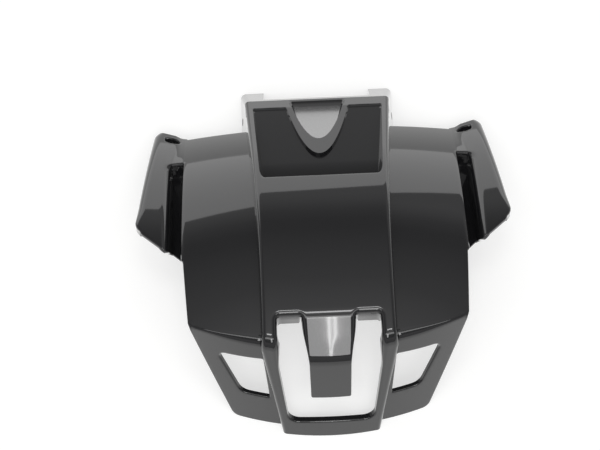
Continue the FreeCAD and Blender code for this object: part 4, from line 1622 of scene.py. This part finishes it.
@dataclass(frozen=True)
class PaperWhite:
    """White paper floor that stays white to the camera and in reflections, and keeps the shadow."""

    name: str = "white_floor"
    colour: tuple[float, float, float] = (0.86, 0.86, 0.85)
    shadow: float = 0.6
    glow: float = 0.58
    roughness: float = 0.85
    grain: float = 0.1

    def make(self) -> bpy.types.Material:
        """Make the material.

        Returns:
            The finished material.
        """
        material = bpy.data.materials.new(self.name)
        material.use_nodes = True
        tree = NodeTree(material.node_tree)
        where = tree.node("ShaderNodeTexCoord", {}, {}, "Object")
        grain = tree.node("ShaderNodeTexNoise", {}, {"Vector": where, "Scale": 260.0, "Detail": 3.0}, "Fac")
        rough = self.roughness + grain * self.grain
        paper = {"Base Color": (*self.colour, 1.0), "Roughness": rough}
        plain = tree.node("ShaderNodeBsdfPrincipled", {}, paper)
        faint = tuple(part * self.shadow for part in self.colour)
        paper = {"Base Color": (*faint, 1.0), "Roughness": rough, "Specular IOR Level": 0.0}
        shaded = tree.node("ShaderNodeBsdfPrincipled", {}, paper)
        glow = tree.node("ShaderNodeEmission", {}, {"Color": (1.0, 1.0, 1.0, 1.0), "Strength": self.glow})
        white = tree.node("ShaderNodeAddShader", {}, {0: shaded, 1: glow})
        rays = ("Is Camera Ray", "Is Glossy Ray", "Is Transmission Ray")
        camera, glossy, through = (tree.node("ShaderNodeLightPath", {}, {}, ray) for ray in rays)
        seen = camera + glossy + through
        both = tree.node("ShaderNodeMixShader", {}, {"Fac": seen, 1: plain, 2: white})
        tree.node("ShaderNodeOutputMaterial", {}, {"Surface": both})
        return material


# Pieces and studio

@dataclass
class PanelPiece:
    """The dressed panel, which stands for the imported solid."""

    name: str = "front_panel_skin"
    wall: float = 2.6
    shift: float = -137.885
    weld: float = 0.02
    crease: float = 42.0

    def build(self) -> bpy.types.Object:
        """Build the moulding as one mesh.

        Returns:
            The piece, riding on the part's body.
        """
        skin = SkinMesh()
        WingSkin().build(skin)
        BandSkin().build(skin)
        posts = SkinMesh()
        ScrewPosts().build(posts)
        piece = self.gather(self.name, skin)
        self.apply(piece, "SOLIDIFY", {"thickness": self.wall * MM, "offset": -1.0})
        self.join(piece, self.gather("screw_posts", posts))
        self.stand(piece)
        piece.data.shade_smooth()
        piece.data.set_sharp_from_angle(angle=math.radians(self.crease))
        piece.data.materials.append(GlossBlack().make())
        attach(piece, "root")
        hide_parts(NODE)
        LOG.info("%s: %d faces", self.name, len(piece.data.polygons))
        return piece

    def gather(self, name: str, skin: SkinMesh) -> bpy.types.Object:
        """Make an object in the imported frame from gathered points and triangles.

        Args:
            name: The object's name.
            skin: The points and triangles.

        Returns:
            The object, with its seams welded.
        """
        points = (np.concatenate(skin.points) + np.array((0.0, self.shift, 0.0))) * MM
        faces = np.concatenate(skin.faces)
        mesh = bpy.data.meshes.new(name)
        mesh.from_pydata(points.tolist(), [], faces.tolist())
        made = bpy.data.objects.new(name, mesh)
        bpy.context.scene.collection.objects.link(made)
        self.apply(made, "WELD", {"merge_threshold": self.weld * MM})
        return made

    def join(self, piece: bpy.types.Object, other: bpy.types.Object) -> None:
        """Join another object into the piece."""
        with bpy.context.temp_override(active_object=piece, selected_editable_objects=[piece, other]):
            bpy.ops.object.join()

    def stand(self, piece: bpy.types.Object) -> None:
        """Trim the feet flat at the floor."""
        for vertex in piece.data.vertices:
            vertex.co.z = max(vertex.co.z, 0.0)

    def apply(self, piece: bpy.types.Object, kind: str, settings: dict[str, float]) -> None:
        """Add a modifier and apply it.

        Args:
            piece: The object to change.
            kind: The modifier's type.
            settings: Its properties.
        """
        modifier = piece.modifiers.new(kind.lower(), kind)
        for name, value in settings.items():
            setattr(modifier, name, value)
        with bpy.context.temp_override(object=piece, active_object=piece):
            bpy.ops.object.modifier_apply(modifier=modifier.name)


@dataclass(frozen=True)
class Lamp:
    """A rectangular lamp: metres, watts, and degrees of turn about its own axis."""

    name: str
    place: tuple[float, float, float]
    aim: tuple[float, float, float]
    size: Span
    power: float
    roll: float = 0.0

    def add(self) -> None:
        """Hang the lamp in the scene."""
        light = bpy.data.lights.new(self.name, "AREA")
        light.shape = "RECTANGLE"
        light.size, light.size_y = self.size
        light.energy = self.power
        lamp = bpy.data.objects.new(self.name, light)
        lamp.location = self.place
        facing = (Vector(self.aim) - Vector(self.place)).to_track_quat("-Z", "Y").to_matrix()
        lamp.rotation_euler = (facing @ Matrix.Rotation(math.radians(self.roll), 3, "Z")).to_euler()
        bpy.context.scene.collection.objects.link(lamp)


@dataclass
class Studio:
    """Floor, lamps, world and camera."""

    focal_px: float = 1600.0
    width_px: float = 600.0
    elevation: float = 68.0
    roll: float = 2.43
    distance: float = 1.6
    target: tuple[float, float, float] = (-0.023, 0.011115, 0.06)
    floor_half: float = 3.0
    lamps: tuple[Lamp, ...] = (
        Lamp("overhead", place=(0.0, -0.08, 2.2), aim=(0.0, -0.08, 0.0), size=(0.5, 0.3), power=3.7),
        Lamp("front_softbox", place=(0.0, -1.36, 1.7), aim=(0.0, -0.13, 0.13), size=(0.7, 0.8), power=9.2),
        Lamp("front_strip", place=(0.0, -1.05, 2.05), aim=(0.0, -0.13, 0.13), size=(3.0, 0.45), power=12.0),
        Lamp("tube_left", place=(0.031, -1.355, 1.69), aim=(0.031, -0.13, 0.13), size=(0.007, 0.8),
             power=0.3),
        Lamp("tube_right", place=(0.044, -1.355, 1.69), aim=(0.044, -0.13, 0.13), size=(0.007, 0.8),
             power=0.3),
        Lamp("rear_wall", place=(0.0, 3.0, 0.28), aim=(0.0, 0.0, 0.28), size=(6.0, 2.4),
             power=64.0, roll=13.0),
    )

    def floor(self) -> None:
        """Lay the white floor."""
        h = self.floor_half
        mesh = bpy.data.meshes.new("floor")
        mesh.from_pydata([(-h, -h, 0.0), (h, -h, 0.0), (h, h, 0.0), (-h, h, 0.0)], [], [(0, 1, 2, 3)])
        mesh.materials.append(PaperWhite().make())
        floor = bpy.data.objects.new("floor", mesh)
        bpy.context.scene.collection.objects.link(floor)

    def world(self) -> None:
        """Set the room's fill, graded by height."""
        world = bpy.data.worlds.new("room")
        world.use_nodes = True
        tree = NodeTree(world.node_tree)
        where = tree.node("ShaderNodeTexCoord", {}, {}, "Generated")
        height = tree.node("ShaderNodeSeparateXYZ", {}, {"Vector": where}, "Z")
        tone = [(0.0, 0.40), (0.36, 0.50), (0.46, 0.56), (0.50, 0.50), (0.56, 0.33), (0.62, 0.24),
                (0.67, 0.25), (0.77, 0.37), (0.87, 0.50), (0.94, 0.73), (1.0, 1.06)]
        stops = {"stops": [(place, (level, level, level, 1.0)) for place, level in tone]}
        sky = tree.node("ShaderNodeValToRGB", stops, {"Fac": height})
        fill = tree.node("ShaderNodeBackground", {}, {"Color": sky, "Strength": 1.0})
        tree.node("ShaderNodeOutputWorld", {}, {"Surface": fill})
        bpy.context.scene.world = world

    def camera(self) -> None:
        """Set the camera to the photograph's view."""
        data = bpy.data.cameras.new("camera")
        data.sensor_fit = "HORIZONTAL"
        data.sensor_width = 36.0
        data.lens = data.sensor_width * self.focal_px / self.width_px
        data.clip_end = 50.0
        camera = bpy.data.objects.new("camera", data)
        rise = math.radians(self.elevation)
        back = Vector((0.0, -math.cos(rise), math.sin(rise)))
        right = Vector((1.0, 0.0, 0.0))
        up = back.cross(right)
        spin = math.radians(self.roll)
        axis_x = right * math.cos(spin) - up * math.sin(spin)
        axis_y = right * math.sin(spin) + up * math.cos(spin)
        turn = Matrix((axis_x, axis_y, back)).transposed().to_4x4()
        camera.matrix_world = Matrix.Translation(Vector(self.target) + back * self.distance) @ turn
        bpy.context.scene.collection.objects.link(camera)
        bpy.context.scene.camera = camera

    def build(self) -> None:
        """Build the whole studio."""
        self.floor()
        for lamp in self.lamps:
            lamp.add()
        self.world()
        self.camera()
        bpy.context.scene.view_settings.view_transform = "Standard"


def main() -> None:
    """Build every piece and the studio, and log the panel's face count.
    """
    logging.basicConfig(level=logging.INFO, format="%(message)s")
    PanelPiece().build()
    Studio().build()


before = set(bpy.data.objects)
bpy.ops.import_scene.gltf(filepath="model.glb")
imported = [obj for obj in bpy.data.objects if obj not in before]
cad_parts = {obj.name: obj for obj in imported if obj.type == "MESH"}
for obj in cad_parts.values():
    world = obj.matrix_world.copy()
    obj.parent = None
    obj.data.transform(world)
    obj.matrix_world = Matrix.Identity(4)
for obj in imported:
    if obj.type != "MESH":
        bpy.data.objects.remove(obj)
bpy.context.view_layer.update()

if __name__ == "__main__":
    main()
